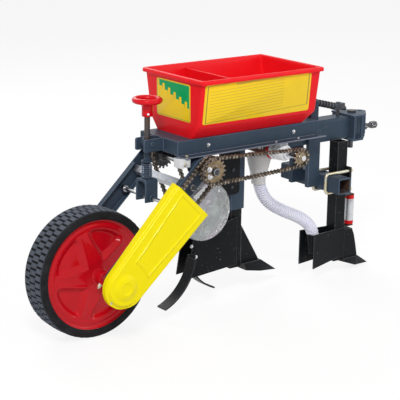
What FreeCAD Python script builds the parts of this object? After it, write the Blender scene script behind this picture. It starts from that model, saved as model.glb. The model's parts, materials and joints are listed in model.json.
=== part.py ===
"""Row seeder: a hand or tractor drawn single row planter with a fertiliser opener.

Lengths are in millimetres.  Everything is modelled in the machine's own level frame: +X is the
way it is drawn, +Y is its left side, +Z is up, and the ground wheel stands at x = 0, z = 0.
The last step parks it: the machine pitches about its wheel axle until the fertiliser point
touches the ground, and the origin moves to the middle of its footprint box.
"""
import FreeCAD, Part
import math
import os

V = FreeCAD.Vector

# ---- ground wheel ------------------------------------------------------------------------
AXLE_HEIGHT = 185.0
TYRE_RADIUS = 185.0
TYRE_WIDTH = 90.0
TYRE_SHOULDER = 9.0
RIM_RADIUS = 161.0
RIM_WALL = 3.0
RIM_WIDTH = 80.0
DISC_INSET = 7.0
DISC_BORE = 13.0
DISH_OUTER = 140.0
DISH_INNER = 48.0
DISH_DEPTH = 22.0
DRAIN_HOLES = 5
DRAIN_RADIUS = 4.0
DRAIN_REACH = 128.8
HUB_RADIUS = 27.0
HUB_PLATE = 4.0
HUB_TUBE_RADIUS = 19.0
HUB_TUBE_LENGTH = 30.0
AXLE_RADIUS = 10.0

# ---- roller chain and its sprockets ------------------------------------------------------
CHAIN_PITCH = 12.7
ROLLER_RADIUS = 3.9
LINK_HALF_HEIGHT = 5.6
LINK_PLATE = 2.4
SPROCKET_THICK = 5.0
TOOTH_TIP = 3.4
TOOTH_SEAT_GAP = 0.2
TOOTH_MOUTH = 1.6
TOOTH_CUT = 6.0
CHAIN_SIDE_GAP = 0.6
TEETH_WHEEL = 16
TEETH_MIDDLE = 18
TEETH_FRONT = 12
TEETH_METER = 18
LINKS_WHEEL = 82
LINKS_FRONT = 66
LINKS_METER = 44
WHEEL_CHAIN_Y = -160.0
FRONT_CHAIN_Y = -178.0
SPROCKET_HUB = 17.0
FRONT_HUB = 13.0
HUB_SHORT = 6.0
HUB_HALF = 8.0
WHEEL_HUB_REACH = 14.0
FRONT_HUB_REACH = 18.0

# ---- shafts and their fits ---------------------------------------------------------------
MIDDLE_SHAFT_RADIUS = 10.0
FRONT_SHAFT_RADIUS = 8.0
METER_SHAFT_RADIUS = 6.0
RUNNING_FIT = 0.06
SHAFT_TAIL = 14.0
SHAFT_PROUD = 6.0

# ---- wheel arms --------------------------------------------------------------------------
ARM_ANGLE = 43.2
ARM_WEB = 4.0
ARM_DEPTH = 56.0
ARM_FLANGE = 18.0
ARM_OUTER_Y = 128.0
ARM_FLANGE_STOP = 64.0
ARM_BOSS_RADIUS = 20.0
ARM_BOSS_DEPTH = 10.0
CROSSBAR_SIZE = 22.0
CROSSBAR_AT = 342.0
SCREW_ROD_RADIUS = 6.0
SCREW_ROD_AT = 273.0

# ---- chain cover -------------------------------------------------------------------------
COVER_ANGLE = 46.4
COVER_LENGTH = 309.0
COVER_END_RADIUS = 61.0
COVER_HEAD_LOW = 90.0
COVER_OUTER_Y = 186.0
COVER_DEPTH = 26.0
COVER_WALL = 2.5
COVER_EDGE = 10.0
COVER_LUG_WIDTH = 30.0
COVER_LUG_Y = 146.0
COVER_LUG_LAP = 6.0
NEAR = 0.01
COVER_LUGS = (70.0, 235.0)
COVER_MOUTH_CUT = 8.0

# ---- hopper ------------------------------------------------------------------------------
HOPPER_RIM_REAR = 281.0
HOPPER_RIM_FRONT = 738.0
HOPPER_RIM_HALF = 146.0
HOPPER_TOP = 716.0
HOPPER_LIP = 6.0
HOPPER_LIP_WIDTH = 8.0
HOPPER_WALL = 4.0
HOPPER_KNEE_HEIGHT = 38.5
HOPPER_KNEE_REAR = 292.0
HOPPER_KNEE_FRONT = 734.0
HOPPER_KNEE_HALF = 116.0
HOPPER_FLOOR_REAR = 293.0
HOPPER_FLOOR_FRONT = 713.0
HOPPER_FLOOR_HALF = 84.0
DIVIDER_X = 433.0
DIVIDER_THICK = 6.0
DIVIDER_DROP = 14.0
OUTLET_LENGTH = 56.0
OUTLET_WIDTH = 40.0

# ---- tray, rails and posts ---------------------------------------------------------------
TRAY_REAR = 239.5
TRAY_FRONT = 772.0
TRAY_HALF = 90.0
TRAY_TOP = 542.5
TRAY_DEPTH = 40.0
TRAY_SHEET = 3.0
RAIL_REAR = 232.0
RAIL_FRONT = 780.0
RAIL_REACH = 28.0
RAIL_THICK = 3.5
RAIL_DROP = 3.0
RAIL_LEG = 34.0
RAIL_CUT = 18.0
EAR_REAR = 173.0
EAR_HEIGHT = 36.0
EAR_THICK = 6.0
SCREW_Y = 0.0
TRUNNION_DROP = 15.0
TRUNNION_RADIUS = 13.5
TRUNNION_HALF = 16.7
TRUNNION_PIN = 7.0
TRUNNION_SIDE_GAP = 0.3
TRUNNION_PIN_PROUD = 5.0
HANGER_THICK = 4.0
HANGER_HALF_WIDTH = 28.0
BUSH_RADIUS = 15.0
BUSH_PROUD = 2.0
BUSH_INSET = 12.0
BUSH_COLLAR = 23.0
BUSH_COLLAR_GAP = 0.5
METER_HUB_GAP = 8.0
MIDDLE_POST_REAR = 490.0
POST_SIZE = 50.0
POST_WALL = 4.0
POST_BOTTOM = 289.0
DRAWBAR_REAR = 700.0
DRAWBAR_FRONT = 960.0
DRAWBAR_HALF = 30.0
DRAWBAR_TOP = 522.0
DRAWBAR_BOTTOM = 452.0
DRAWBAR_WALL = 4.0
DRAWBAR_ROUND = 8.0
FRONT_POST_REAR = 778.0
FRONT_POST_LENGTH = 46.0
FRONT_POST_THICK = 15.0
FRONT_POST_TOP = 500.0
FRONT_POST_LIFT = 12.0
TOOL_BAR_SIZE = 50.0
TOOL_BAR_BOTTOM = 309.0
TOOL_BAR_HALF = 135.0
TOOL_BAR_WALL = 4.0
TOOL_BAR_ROUND = 6.0
STAY_POST_X = 825.0
STAY_POST_SIZE = 30.0
STAY_POST_TOP = 583.0
STAY_ROD_RADIUS = 7.0
STAY_EYE_X = 935.0
STAY_EYE_Z = 553.0
STAY_ROD_TIP = 965.0
STAY_ROD_TIP_Z = 543.0
STAY_BOLT_RADIUS = 5.0
STAY_BOLT_HEAD = 4.0
STAY_HEAD_RADIUS = 8.0
STAY_ROOT_DROP = 10.0
STAY_CHEEK = 2.0
STAY_EYE_RADIUS = 13.0
STAY_EYE_HEIGHT = 18.0
STAY_TAIL = 22.0

# ---- depth screw -------------------------------------------------------------------------
SCREW_RADIUS = 9.0
SCREW_TOP = 666.0
SCREW_BORE_GAP = 0.4
HANDWHEEL_RADIUS = 44.0
HANDWHEEL_RIM = 7.0
HANDWHEEL_Z = 652.0
HANDWHEEL_HUB = 17.0
HANDWHEEL_HUB_LOW = 605.0
HANDWHEEL_HUB_TOP = 662.0
HANDWHEEL_SPOKES = 4
SPOKE_RADIUS = 5.0
SPRING_RADIUS = 15.5
SPRING_WALL = 3.5
SPRING_LENGTH = 47.0
SPRING_COLLAR = 5.0
SPRING_COLLAR_RADIUS = 16.5
CLEVIS_LENGTH = 42.0
CLEVIS_WIDTH = 50.0
CLEVIS_WALL = 6.0
CLEVIS_ABOVE_ROD = 54.0
CLEVIS_BELOW_ROD = 12.0
CLEVIS_SLOT = 2.5

# ---- seed opener -------------------------------------------------------------------------
SHANK_FIT = 0.5
SEED_SHANK_WALL = 5.0
SEED_SHANK_TOP = 400.0
BOOT_REAR = 328.0
BOOT_PLATE_FRONT = 512.0
BOOT_HALF = 30.0
BOOT_SHEET = 4.0
BOOT_TOP = 268.0
BOOT_REAR_BOTTOM = 105.0
BOOT_FRONT_BOTTOM = 118.0
BOOT_REAR_LEAN = 20.0
BOOT_REAR_DROP = 40.0
BOOT_WEB_FRONT = 606.0
BOOT_WEB_TOP = 236.0
SEED_SHARE_TIP = 694.0
SEED_SHARE_TIP_Z = 63.0
SEED_SHARE_REAR = 547.0
SEED_SHARE_REAR_Z = 93.0
SEED_SHARE_HALF = 34.0
SEED_TIP_HALF = 4.0
COVERER_WIDTH = 40.0
COVERER_THICK = 5.0
COVERER_RADIUS = 170.0
COVERER_START = 8.0
COVERER_SWEEP = 62.0
COVERER_TAB = 26.0
COVERER_BOLT_X = 326.0
COVERER_BOLT_Z = 178.0
LEFT_BOLT_X = 370.0
LEFT_BOLT_Z = 168.0

# ---- seed meter --------------------------------------------------------------------------
METER_BEARING = -67.07
METER_RADIUS = 90.0
METER_FACE_Y = -72.0
METER_COVER_DEPTH = 22.0
METER_CASE_DEPTH = 19.0
METER_WALL = 3.0
METER_DISC_GAP = 13.0
METER_DISC_THICK = 6.0
METER_DISC_INSET = 6.0
METER_BOSS = 16.0
METER_BOSS_GAP = 10.0
METER_SHAFT_REAR = 8.0
METER_SHAFT_PROUD = 12.0
COVER_ROUND = 15.4
COVER_ROUND_INSIDE = 13.2
CHUTE_LIFT = 40.0
CHUTE_LENGTH = 40.0
CHUTE_WIDTH = 20.0
GATE_LENGTH = 35.0
GATE_HEIGHT = 26.0
GATE_WIDTH = 32.0
GATE_Y = -112.0
GATE_REAR = 234.0
BRACKET_REAR = 440.0
BRACKET_FRONT = 517.0
BRACKET_BOTTOM = 339.0
BRACKET_THICK = 6.0
BRACKET_ROUND = 16.0

# ---- fertiliser meter and hose -----------------------------------------------------------
FERT_DRUM_RADIUS = 22.0
FERT_DRUM_HALF = 62.0
FERT_NECK = 30.0
CUP_TOP_RADIUS = 40.0
CUP_BOTTOM_RADIUS = 22.0
CUP_TOP_DROP = 24.0
CUP_HEIGHT = 74.0
CUP_WALL = 2.5
CUP_SPOUT = 16.0
FERT_SHAFT_PROUD = 8.0
BRACKET_SLEEVE = 17.0
BRACKET_SLEEVE_LENGTH = 60.0
BRACKET_LUG_HALF = 16.0
BRACKET_LUG_OUT = 12.0
BRACKET_LUG_IN = 8.0
OUTLET_SETBACK = 10.0
HOSE_RADIUS = 19.5
HOSE_ROUTE = [
    (615.0, 0.0, 366.0),
    (622.0, 0.0, 330.0),
    (646.0, -8.0, 288.0),
    (692.0, -21.0, 258.0),
    (742.0, -35.0, 235.0),
    (770.0, -43.5, 218.0),
    (789.0, -49.5, 198.0),
    (798.0, -52.3, 178.0),
    (800.0, -53.0, 160.0),
]

# ---- fertiliser opener -------------------------------------------------------------------
FERT_SHANK_Y = -53.0
FERT_SHANK_SIZE = 40.0
FERT_SHANK_WALL = 4.0
FERT_SHANK_TOP = 458.0
FERT_SHANK_BOTTOM = 72.0
WING_LENGTH = 100.0
WING_HEIGHT = 107.0
WING_SPREAD = 31.0
WING_THICK = 4.0
WING_LIFT = 14.0
WING_HEEL = 4.0
WING_DROP = 10.0
FUNNEL_TOP = 172.0
FUNNEL_BOTTOM = 110.0
FUNNEL_WALL = 2.0
FUNNEL_FOOT = 14.0
FUNNEL_STAY_HALF = 4.0
FUNNEL_STAY_HEIGHT = 36.0
SHIN_TOP = 170.0
SHIN_STEPS = [(36.0, 170.0), (46.0, 146.0), (54.0, 114.0)]
SHIN_FOOT = 62.0
SHARE_TOP_RISE = 4.0
FERT_SHARE_TIP = 1039.0
FERT_SHARE_TIP_Z = 36.0
FERT_SHARE_HALF = 26.0
SHARE_THICK = 10.0
SHARE_HEEL = 20.0
SHARE_BEND = 50.0
FERT_TIP_HALF = 3.0
FERT_TIP_THICK = 2.0
ROLLER_RADIUS_STUBBLE = 14.0
ROLLER_LENGTH = 96.0
ROLLER_CENTRE_Z = 228.0
ROLLER_GAP = 24.0
ROLLER_PIN = 4.0
ROLLER_END_GAP = 0.5
ROLLER_PLATE = 4.0
ROLLER_PLATE_HALF = 12.0
ROLLER_PLATE_REACH = 8.0
U_BOLT_RADIUS = 4.8
U_BOLT_SPACING = 56.0
U_BOLT_BEND = 10.0
CLAMP_THICK = 7.0
CLAMP_OVERHANG = 17.0
CLAMP_MARGIN = 3.0
LEG_TAIL = 9.0

# ---- hitch -------------------------------------------------------------------------------
HITCH_PLATE = 6.0
HITCH_HALF = 52.0
HITCH_PIN_X = 995.0
HITCH_PIN_RADIUS = 9.0
HITCH_PIN_FIT = 0.1
HITCH_PIN_BOTTOM = 413.0
HITCH_TOP = 528.0
HITCH_BOTTOM = 446.0
HITCH_LAP = 4.0
HITCH_SHOULDER = 1000.0
HITCH_NOSE = 1050.0
HITCH_NOSE_RADIUS = 20.0
HITCH_NECK_HALF = 17.2
KING_HEAD_RADIUS = 14.0
KING_HEAD = 6.0
STRAP_LENGTH = 8.0
DRAW_BORE_X = 1031.0
DRAW_BORE_RADIUS = 7.0
KNUCKLE_RADIUS = 17.0
TONGUE_HALF = 12.0
TONGUE_FRONT = 1048.0
YOKE_CLEAR = 1.0
SET_BOLT_RADIUS = 7.0
SET_BOLT_Z = 475.0
SET_BOLT_TIP = 1103.0
SET_BOLT_HEAD = 12.0
SET_BOLT_HEAD_LENGTH = 21.0
SET_NUT_LENGTH = 12.0

NODES = {}


# ---- plain shapes ------------------------------------------------------------------------
def block(x0, x1, y0, y1, z0, z1):
    return Part.makeBox(x1 - x0, y1 - y0, z1 - z0, V(x0, y0, z0))


def rod(radius, start, end):
    """A round bar from one point to another."""
    a = V(*start)
    b = V(*end)
    return Part.makeCylinder(radius, (b - a).Length, a, b - a)


def rod_y(x, z, radius, y0, y1):
    return Part.makeCylinder(radius, y1 - y0, V(x, y0, z), V(0, 1, 0))


def pipe_y(x, z, outer, inner, y0, y1):
    return rod_y(x, z, outer, y0, y1).cut(rod_y(x, z, inner, y0 - 1, y1 + 1))


def prism_y(points, y0, y1):
    """A flat outline in X and Z, as thick as y0 to y1."""
    loop = [V(x, y0, z) for x, z in points]
    face = Part.Face(Part.makePolygon(loop + loop[:1]))
    return face.extrude(V(0, y1 - y0, 0))


def prism_z(points, z0, z1):
    loop = [V(x, y, z0) for x, y in points]
    face = Part.Face(Part.makePolygon(loop + loop[:1]))
    return face.extrude(V(0, 0, z1 - z0))


def square_tube_y(x0, z0, size, wall, y0, y1):
    outer = block(x0, x0 + size, y0, y1, z0, z0 + size)
    return outer.cut(block(x0 + wall, x0 + size - wall, y0 - 1, y1 + 1, z0 + wall, z0 + size - wall))


def square_tube_z(x0, y0, size, wall, z0, z1):
    outer = block(x0, x0 + size, y0, y0 + size, z0, z1)
    return outer.cut(block(x0 + wall, x0 + size - wall, y0 + wall, y0 + size - wall, z0 - 1, z1 + 1))


def rounded_along(shape, direction, radius, reach):
    """Round the outer long edges of a square tube that runs along one axis."""
    others = [axis for axis in "XYZ" if axis != direction]
    picked = []
    for edge in shape.Edges:
        box = edge.BoundBox
        long = getattr(box, direction + "Length") > reach
        whole = shape.BoundBox
        outer = all(min(abs(getattr(box, a + "Min") - getattr(whole, a + "Min")),
                        abs(getattr(box, a + "Max") - getattr(whole, a + "Max"))) < 0.01 for a in others)
        if long and outer:
            picked.append(edge)
    return shape.makeFillet(radius, picked)


def hexagon_x(x0, x1, y, z, radius):
    """A hexagonal head or nut whose axis lies along X."""
    corners = [math.radians(60 * i) for i in range(6)]
    loop = [V(x0, y + radius * math.cos(a), z + radius * math.sin(a)) for a in corners]
    return Part.Face(Part.makePolygon(loop + loop[:1])).extrude(V(x1 - x0, 0, 0))


def along_arm(distance, aside=0.0, angle=ARM_ANGLE):
    """X and Z of a point so far up the arm from the wheel axle, and so far to its upper side."""
    a = math.radians(angle)
    x = distance * math.cos(a) - aside * math.sin(a)
    z = AXLE_HEIGHT + distance * math.sin(a) + aside * math.cos(a)
    return x, z


def rims(shape, axis, place, radius):
    """The full circles of one radius that lie at one place along an axis."""
    found = []
    for edge in shape.Edges:
        if edge.Curve.TypeId != "Part::GeomCircle" or len(edge.Vertexes) != 1:
            continue
        if abs(edge.Curve.Radius - radius) < 0.01 and abs(getattr(edge.Curve.Center, axis) - place) < 0.01:
            found.append(edge)
    return found


def put(name, *solids):
    shape = solids[0] if len(solids) == 1 else Part.makeCompound(list(solids))
    NODES[name] = shape


def both_sides(shape):
    """The solid and its mirror image on the other side of the machine."""
    return [shape, shape.mirror(V(0, 0, 0), V(0, 1, 0))]


# ---- chain geometry ----------------------------------------------------------------------
def pitch_radius(teeth):
    return CHAIN_PITCH / (2 * math.sin(math.pi / teeth))


def chain_centres(links, teeth_a, teeth_b):
    """Centre distance at which a closed chain of so many links is just taut."""
    ra = pitch_radius(teeth_a)
    rb = pitch_radius(teeth_b)
    distance = (links - (teeth_a + teeth_b) / 2) * CHAIN_PITCH / 2
    for _ in range(30):
        lean = math.asin((ra - rb) / distance)
        arcs = (teeth_a * (math.pi + 2 * lean) + teeth_b * (math.pi - 2 * lean)) / (2 * math.pi)
        run = (links - arcs) * CHAIN_PITCH / 2
        distance = math.hypot(run, ra - rb)
    return distance


def upper_tangent(a, b, ra, rb):
    """Angle in the X-Z plane at which the upper run leaves both sprockets, and the run's length."""
    distance = math.hypot(b[0] - a[0], b[1] - a[1])
    heading = math.atan2(b[1] - a[1], b[0] - a[0])
    return heading + math.acos((ra - rb) / distance), math.sqrt(distance ** 2 - (ra - rb) ** 2)


def loop_face(a, b, ra, rb, y):
    """The area inside a belt round two circles, at one height along Y."""
    heading = math.atan2(b[1] - a[1], b[0] - a[0])
    spread = math.acos((ra - rb) / math.hypot(b[0] - a[0], b[1] - a[1]))

    def at(centre, radius, angle):
        return V(centre[0] + radius * math.cos(angle), y, centre[1] + radius * math.sin(angle))

    up = heading + spread
    down = heading - spread
    edges = [
        Part.LineSegment(at(a, ra, up), at(b, rb, up)).toShape(),
        Part.Arc(at(b, rb, up), at(b, rb, heading), at(b, rb, down)).toShape(),
        Part.LineSegment(at(b, rb, down), at(a, ra, down)).toShape(),
        Part.Arc(at(a, ra, down), at(a, ra, heading + math.pi), at(a, ra, up)).toShape(),
    ]
    return Part.Face(Part.Wire(edges))


def chain_bands(a, b, teeth_a, teeth_b, y):
    """The two rows of link plates, one each side of the teeth."""
    ra = pitch_radius(teeth_a)
    rb = pitch_radius(teeth_b)
    inner_y = SPROCKET_THICK / 2 + CHAIN_SIDE_GAP
    bands = []
    for start in (y - inner_y - LINK_PLATE, y + inner_y):
        ring = loop_face(a, b, ra + LINK_HALF_HEIGHT, rb + LINK_HALF_HEIGHT, start)
        hole = loop_face(a, b, ra - LINK_HALF_HEIGHT, rb - LINK_HALF_HEIGHT, start)
        bands.append(ring.cut(hole).extrude(V(0, LINK_PLATE, 0)))
    return bands


def sprocket(centre, teeth, seat_angle, y, hub_radius, hub_y0, hub_y1, bore):
    """A toothed wheel with one roller seat at seat_angle, and its hub."""
    x, z = centre
    radius = pitch_radius(teeth)
    y0 = y - SPROCKET_THICK / 2
    wheel = rod_y(x, z, radius + TOOTH_TIP, y0, y0 + SPROCKET_THICK)
    seat = ROLLER_RADIUS + TOOTH_SEAT_GAP
    mouth = seat + TOOTH_MOUTH
    cuts = []
    for i in range(teeth):
        angle = seat_angle + 2 * math.pi * i / teeth
        ux, uz = math.cos(angle), math.sin(angle)
        sx, sz = x + radius * ux, z + radius * uz
        cuts.append(rod_y(sx, sz, seat, y0 - 1, y0 + SPROCKET_THICK + 1))
        gap = [
            (sx - seat * uz, sz + seat * ux),
            (sx + seat * uz, sz - seat * ux),
            (sx + TOOTH_CUT * ux + mouth * uz, sz + TOOTH_CUT * uz - mouth * ux),
            (sx + TOOTH_CUT * ux - mouth * uz, sz + TOOTH_CUT * uz + mouth * ux),
        ]
        cuts.append(prism_y(gap, y0 - 1, y0 + SPROCKET_THICK + 1))
    wheel = wheel.cut(cuts)
    wheel = wheel.fuse(rod_y(x, z, hub_radius, hub_y0, hub_y1))
    return wheel.cut(rod_y(x, z, bore, hub_y0 - 60, hub_y1 + 60)).removeSplitter()


# ---- places that several pieces share ----------------------------------------------------
ARM_LENGTH = chain_centres(LINKS_WHEEL, TEETH_WHEEL, TEETH_MIDDLE)
AXLE = (0.0, AXLE_HEIGHT)
MIDDLE = along_arm(ARM_LENGTH)
FRONT_SPAN = chain_centres(LINKS_FRONT, TEETH_MIDDLE, TEETH_FRONT)
FRONT_DROP = 3.5
FRONT = (MIDDLE[0] + math.sqrt(FRONT_SPAN ** 2 - FRONT_DROP ** 2), MIDDLE[1] - FRONT_DROP)
METER_SPAN = chain_centres(LINKS_METER, TEETH_MIDDLE, TEETH_METER)
METER = (
    MIDDLE[0] + METER_SPAN * math.cos(math.radians(METER_BEARING)),
    MIDDLE[1] + METER_SPAN * math.sin(math.radians(METER_BEARING)),
)
SCREW_ROD = along_arm(SCREW_ROD_AT)
TRUNNION = (SCREW_ROD[0], TRAY_TOP - TRUNNION_DROP)
TRAY_BOTTOM = TRAY_TOP - TRAY_DEPTH
RAIL_TOP = TRAY_BOTTOM - RAIL_DROP
RAIL_BOTTOM = RAIL_TOP - RAIL_THICK
RAIL_INNER = TRAY_HALF - TRAY_SHEET
METER_CHAIN_Y = TRAY_HALF - BUSH_INSET - METER_HUB_GAP - HUB_HALF
METER_DISC_RADIUS = METER_RADIUS - METER_WALL - METER_DISC_GAP
TOOL_BAR_REAR = FRONT_POST_REAR + FRONT_POST_LENGTH
FERT_SHANK_REAR = TOOL_BAR_REAR + TOOL_BAR_SIZE
FERT_SHANK_FRONT = FERT_SHANK_REAR + FERT_SHANK_SIZE
COLLAR_Z = SCREW_ROD[1] + CLEVIS_ABOVE_ROD


# ---- ground wheel ------------------------------------------------------------------------
def build_wheel():
    x, z = AXLE
    half = TYRE_WIDTH / 2
    tyre = pipe_y(x, z, TYRE_RADIUS, RIM_RADIUS, -half, half)
    shoulders = rims(tyre, "y", -half, TYRE_RADIUS) + rims(tyre, "y", half, TYRE_RADIUS)
    put("tyre", tyre.makeFillet(TYRE_SHOULDER, shoulders))

    rim_half = RIM_WIDTH / 2
    rim = pipe_y(x, z, RIM_RADIUS, RIM_RADIUS - RIM_WALL, -rim_half, rim_half)
    walls = []
    for side in (-1, 1):
        outer = rim_half - DISC_INSET
        crown = outer + DISH_DEPTH
        section = [(RIM_RADIUS - RIM_WALL / 2, outer), (DISH_OUTER, outer), (DISH_INNER, crown),
                   (DISC_BORE, crown), (DISC_BORE, crown - RIM_WALL), (DISH_INNER, crown - RIM_WALL),
                   (DISH_OUTER, outer - RIM_WALL), (RIM_RADIUS - RIM_WALL / 2, outer - RIM_WALL)]
        loop = [V(x + reach, side * y, z) for reach, y in section]
        wall = Part.Face(Part.makePolygon(loop + loop[:1])).revolve(V(x, 0, z), V(0, 1, 0), 360)
        for i in range(DRAIN_HOLES):
            angle = 2 * math.pi * (i + 0.5) / DRAIN_HOLES
            wall = wall.cut(rod_y(x + DRAIN_REACH * math.cos(angle), z + DRAIN_REACH * math.sin(angle),
                                  DRAIN_RADIUS, *sorted((0, side * crown))))
        walls.append(wall)
    put("wheel_disc", rim.fuse(walls).removeSplitter())

    disc_y = rim_half - DISC_INSET + DISH_DEPTH
    axle = rod_y(x, z, AXLE_RADIUS, WHEEL_CHAIN_Y - SHAFT_TAIL, ARM_OUTER_Y + SHAFT_PROUD)
    plates = [
        rod_y(x, z, HUB_RADIUS, -disc_y - HUB_PLATE, -disc_y),
        rod_y(x, z, HUB_RADIUS, disc_y, disc_y + HUB_PLATE),
        rod_y(x, z, HUB_TUBE_RADIUS, -disc_y - HUB_TUBE_LENGTH, -disc_y),
        rod_y(x, z, HUB_TUBE_RADIUS, disc_y, disc_y + HUB_TUBE_LENGTH),
    ]
    put("wheel_axle", axle.fuse(plates).removeSplitter())

    seat, _ = upper_tangent(AXLE, MIDDLE, pitch_radius(TEETH_WHEEL), pitch_radius(TEETH_MIDDLE))
    put("wheel_sprocket", sprocket(AXLE, TEETH_WHEEL, seat, WHEEL_CHAIN_Y, SPROCKET_HUB,
                                   WHEEL_CHAIN_Y - HUB_HALF, WHEEL_CHAIN_Y + WHEEL_HUB_REACH, AXLE_RADIUS))


# ---- wheel arms --------------------------------------------------------------------------
def arm(side):
    """One channel arm, its flanges towards the wheel."""
    half = ARM_DEPTH / 2
    outer = side * ARM_OUTER_Y
    web = side * (ARM_OUTER_Y - ARM_WEB)
    lip = side * (ARM_OUTER_Y - ARM_FLANGE)
    y0, y1 = sorted((outer, web))
    corners = [along_arm(0, -half), along_arm(ARM_LENGTH, -half),
               along_arm(ARM_LENGTH, half), along_arm(0, half)]
    body = prism_y(corners, y0, y1)
    body = body.fuse([rod_y(*AXLE, half, y0, y1), rod_y(*MIDDLE, half, y0, y1)])
    f0, f1 = sorted((outer, lip))
    for sign in (-1, 1):
        strip = [along_arm(0, sign * half), along_arm(ARM_LENGTH - ARM_FLANGE_STOP, sign * half),
                 along_arm(ARM_LENGTH - ARM_FLANGE_STOP, sign * (half - ARM_WEB)),
                 along_arm(0, sign * (half - ARM_WEB))]
        body = body.fuse(prism_y(strip, f0, f1))
    b0, b1 = sorted((outer, side * (ARM_OUTER_Y - ARM_BOSS_DEPTH)))
    body = body.fuse(rod_y(*AXLE, ARM_BOSS_RADIUS, b0, b1))
    body = body.cut(rod_y(*AXLE, AXLE_RADIUS + RUNNING_FIT, -200, 200))
    body = body.cut(rod_y(*MIDDLE, BUSH_RADIUS + RUNNING_FIT, -200, 200))
    return body.removeSplitter()


def build_arms():
    put("right_arm", arm(-1))
    put("left_arm", arm(1))
    inner = ARM_OUTER_Y - ARM_WEB
    half = CROSSBAR_SIZE / 2
    square = [along_arm(CROSSBAR_AT - half, -half), along_arm(CROSSBAR_AT + half, -half),
              along_arm(CROSSBAR_AT + half, half), along_arm(CROSSBAR_AT - half, half)]
    bar = prism_y(square, -inner, inner)
    pin = rod_y(*SCREW_ROD, SCREW_ROD_RADIUS, -inner, inner)
    put("arm_cross_bars", bar, pin)
    put("wheel_chain", *chain_bands(AXLE, MIDDLE, TEETH_WHEEL, TEETH_MIDDLE, WHEEL_CHAIN_Y))


def cover_tray(inset, front, edge):
    """A tray as the chain cover's outline drawn in by inset, its front edges rounded off.

    It is round at the axle, straight along the top and flares downwards to its open head.
    """
    radius = COVER_END_RADIUS - inset
    low = COVER_HEAD_LOW - inset
    turn = math.radians(COVER_ANGLE)
    tangent = math.atan2(low, COVER_LENGTH) + math.acos(radius / math.hypot(low, COVER_LENGTH))

    def end(angle):
        return V(AXLE[0] + radius * math.cos(turn + angle), front, AXLE[1] + radius * math.sin(turn + angle))

    def head(aside):
        x, z = along_arm(COVER_LENGTH, aside, COVER_ANGLE)
        return V(x, front, z)

    edges = [
        Part.Arc(end(math.pi / 2), end(math.pi), end(-tangent)).toShape(),
        Part.LineSegment(end(-tangent), head(-low)).toShape(),
        Part.LineSegment(head(-low), head(radius)).toShape(),
        Part.LineSegment(head(radius), end(math.pi / 2)).toShape(),
    ]
    tray = Part.Face(Part.Wire(edges)).extrude(V(0, COVER_DEPTH, 0))
    middle = sum((head(side) for side in (-low, radius)), V()) / 2
    rounded = []
    for rim in tray.Edges:
        centre = rim.CenterOfMass
        if abs(centre.y - front) < NEAR and centre.distanceToPoint(middle) > COVER_EDGE:
            rounded.append(rim)
    return tray.makeFillet(edge, rounded)


def build_cover():
    outer_y = -COVER_OUTER_Y
    shell = cover_tray(0, outer_y, COVER_EDGE)
    cavity = cover_tray(COVER_WALL, outer_y + COVER_WALL, COVER_EDGE - COVER_WALL)
    cover = shell.cut(cavity)
    upper = COVER_END_RADIUS - COVER_WALL
    lower = COVER_HEAD_LOW - COVER_WALL
    inside = COVER_LENGTH - COVER_MOUTH_CUT
    beyond = COVER_LENGTH + COVER_MOUTH_CUT
    mouth = [along_arm(inside, -lower, COVER_ANGLE), along_arm(beyond, -lower, COVER_ANGLE),
             along_arm(beyond, upper, COVER_ANGLE), along_arm(inside, upper, COVER_ANGLE)]
    cover = cover.cut(prism_y(mouth, outer_y + COVER_EDGE, outer_y + COVER_DEPTH + 1))
    lugs = []
    cover_flare = COVER_HEAD_LOW - COVER_END_RADIUS
    inner = -ARM_DEPTH / 4
    for distance in COVER_LUGS:
        end = distance + COVER_LUG_WIDTH
        reach = -COVER_END_RADIUS - cover_flare * distance / COVER_LENGTH + COVER_WALL / 2
        plate = arm_strip(distance, end, reach, inner)
        wall = arm_strip(distance, end, reach, reach + COVER_WALL)
        foot = arm_strip(distance, end, inner - COVER_WALL, inner)
        lugs.append(prism_y(wall, outer_y + COVER_DEPTH - COVER_LUG_LAP, -COVER_LUG_Y))
        lugs.append(prism_y(plate, -COVER_LUG_Y - COVER_WALL, -COVER_LUG_Y))
        lugs.append(prism_y(foot, -COVER_LUG_Y - COVER_WALL, -ARM_OUTER_Y))
    put("chain_cover", cover.fuse(lugs).removeSplitter())


def arm_strip(start, end, low, high):
    """Corners of a rectangle along the chain cover's line."""
    return [along_arm(start, low, COVER_ANGLE), along_arm(end, low, COVER_ANGLE),
            along_arm(end, high, COVER_ANGLE), along_arm(start, high, COVER_ANGLE)]


# ---- hopper ------------------------------------------------------------------------------
def hopper_ring(z, x0, x1, half, inset):
    points = [V(x0 + inset, -half + inset, z), V(x1 - inset, -half + inset, z),
              V(x1 - inset, half - inset, z), V(x0 + inset, half - inset, z)]
    return Part.makePolygon(points + points[:1])


def hopper_body(inset, floor_up, top_up):
    """The tapered tub: a steep upper part on a lower part with slanted ends."""
    knee = TRAY_TOP + HOPPER_KNEE_HEIGHT
    lip = HOPPER_LIP_WIDTH
    top = hopper_ring(HOPPER_TOP + top_up, HOPPER_RIM_REAR + lip, HOPPER_RIM_FRONT - lip,
                      HOPPER_RIM_HALF - lip, inset)
    middle = hopper_ring(knee, HOPPER_KNEE_REAR, HOPPER_KNEE_FRONT, HOPPER_KNEE_HALF, inset)
    bottom = hopper_ring(TRAY_TOP + floor_up, HOPPER_FLOOR_REAR, HOPPER_FLOOR_FRONT,
                         HOPPER_FLOOR_HALF, inset)
    upper = Part.makeLoft([middle, top], True, True)
    lower = Part.makeLoft([bottom, middle], True, True)
    return upper.fuse(lower)


def outlet_places():
    seed_x = (HOPPER_FLOOR_REAR + DIVIDER_X) / 2
    seed_y = METER_FACE_Y + METER_COVER_DEPTH + METER_CASE_DEPTH / 2
    return [(seed_x, seed_y), (FRONT[0] - OUTLET_SETBACK, 0.0)]


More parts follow.
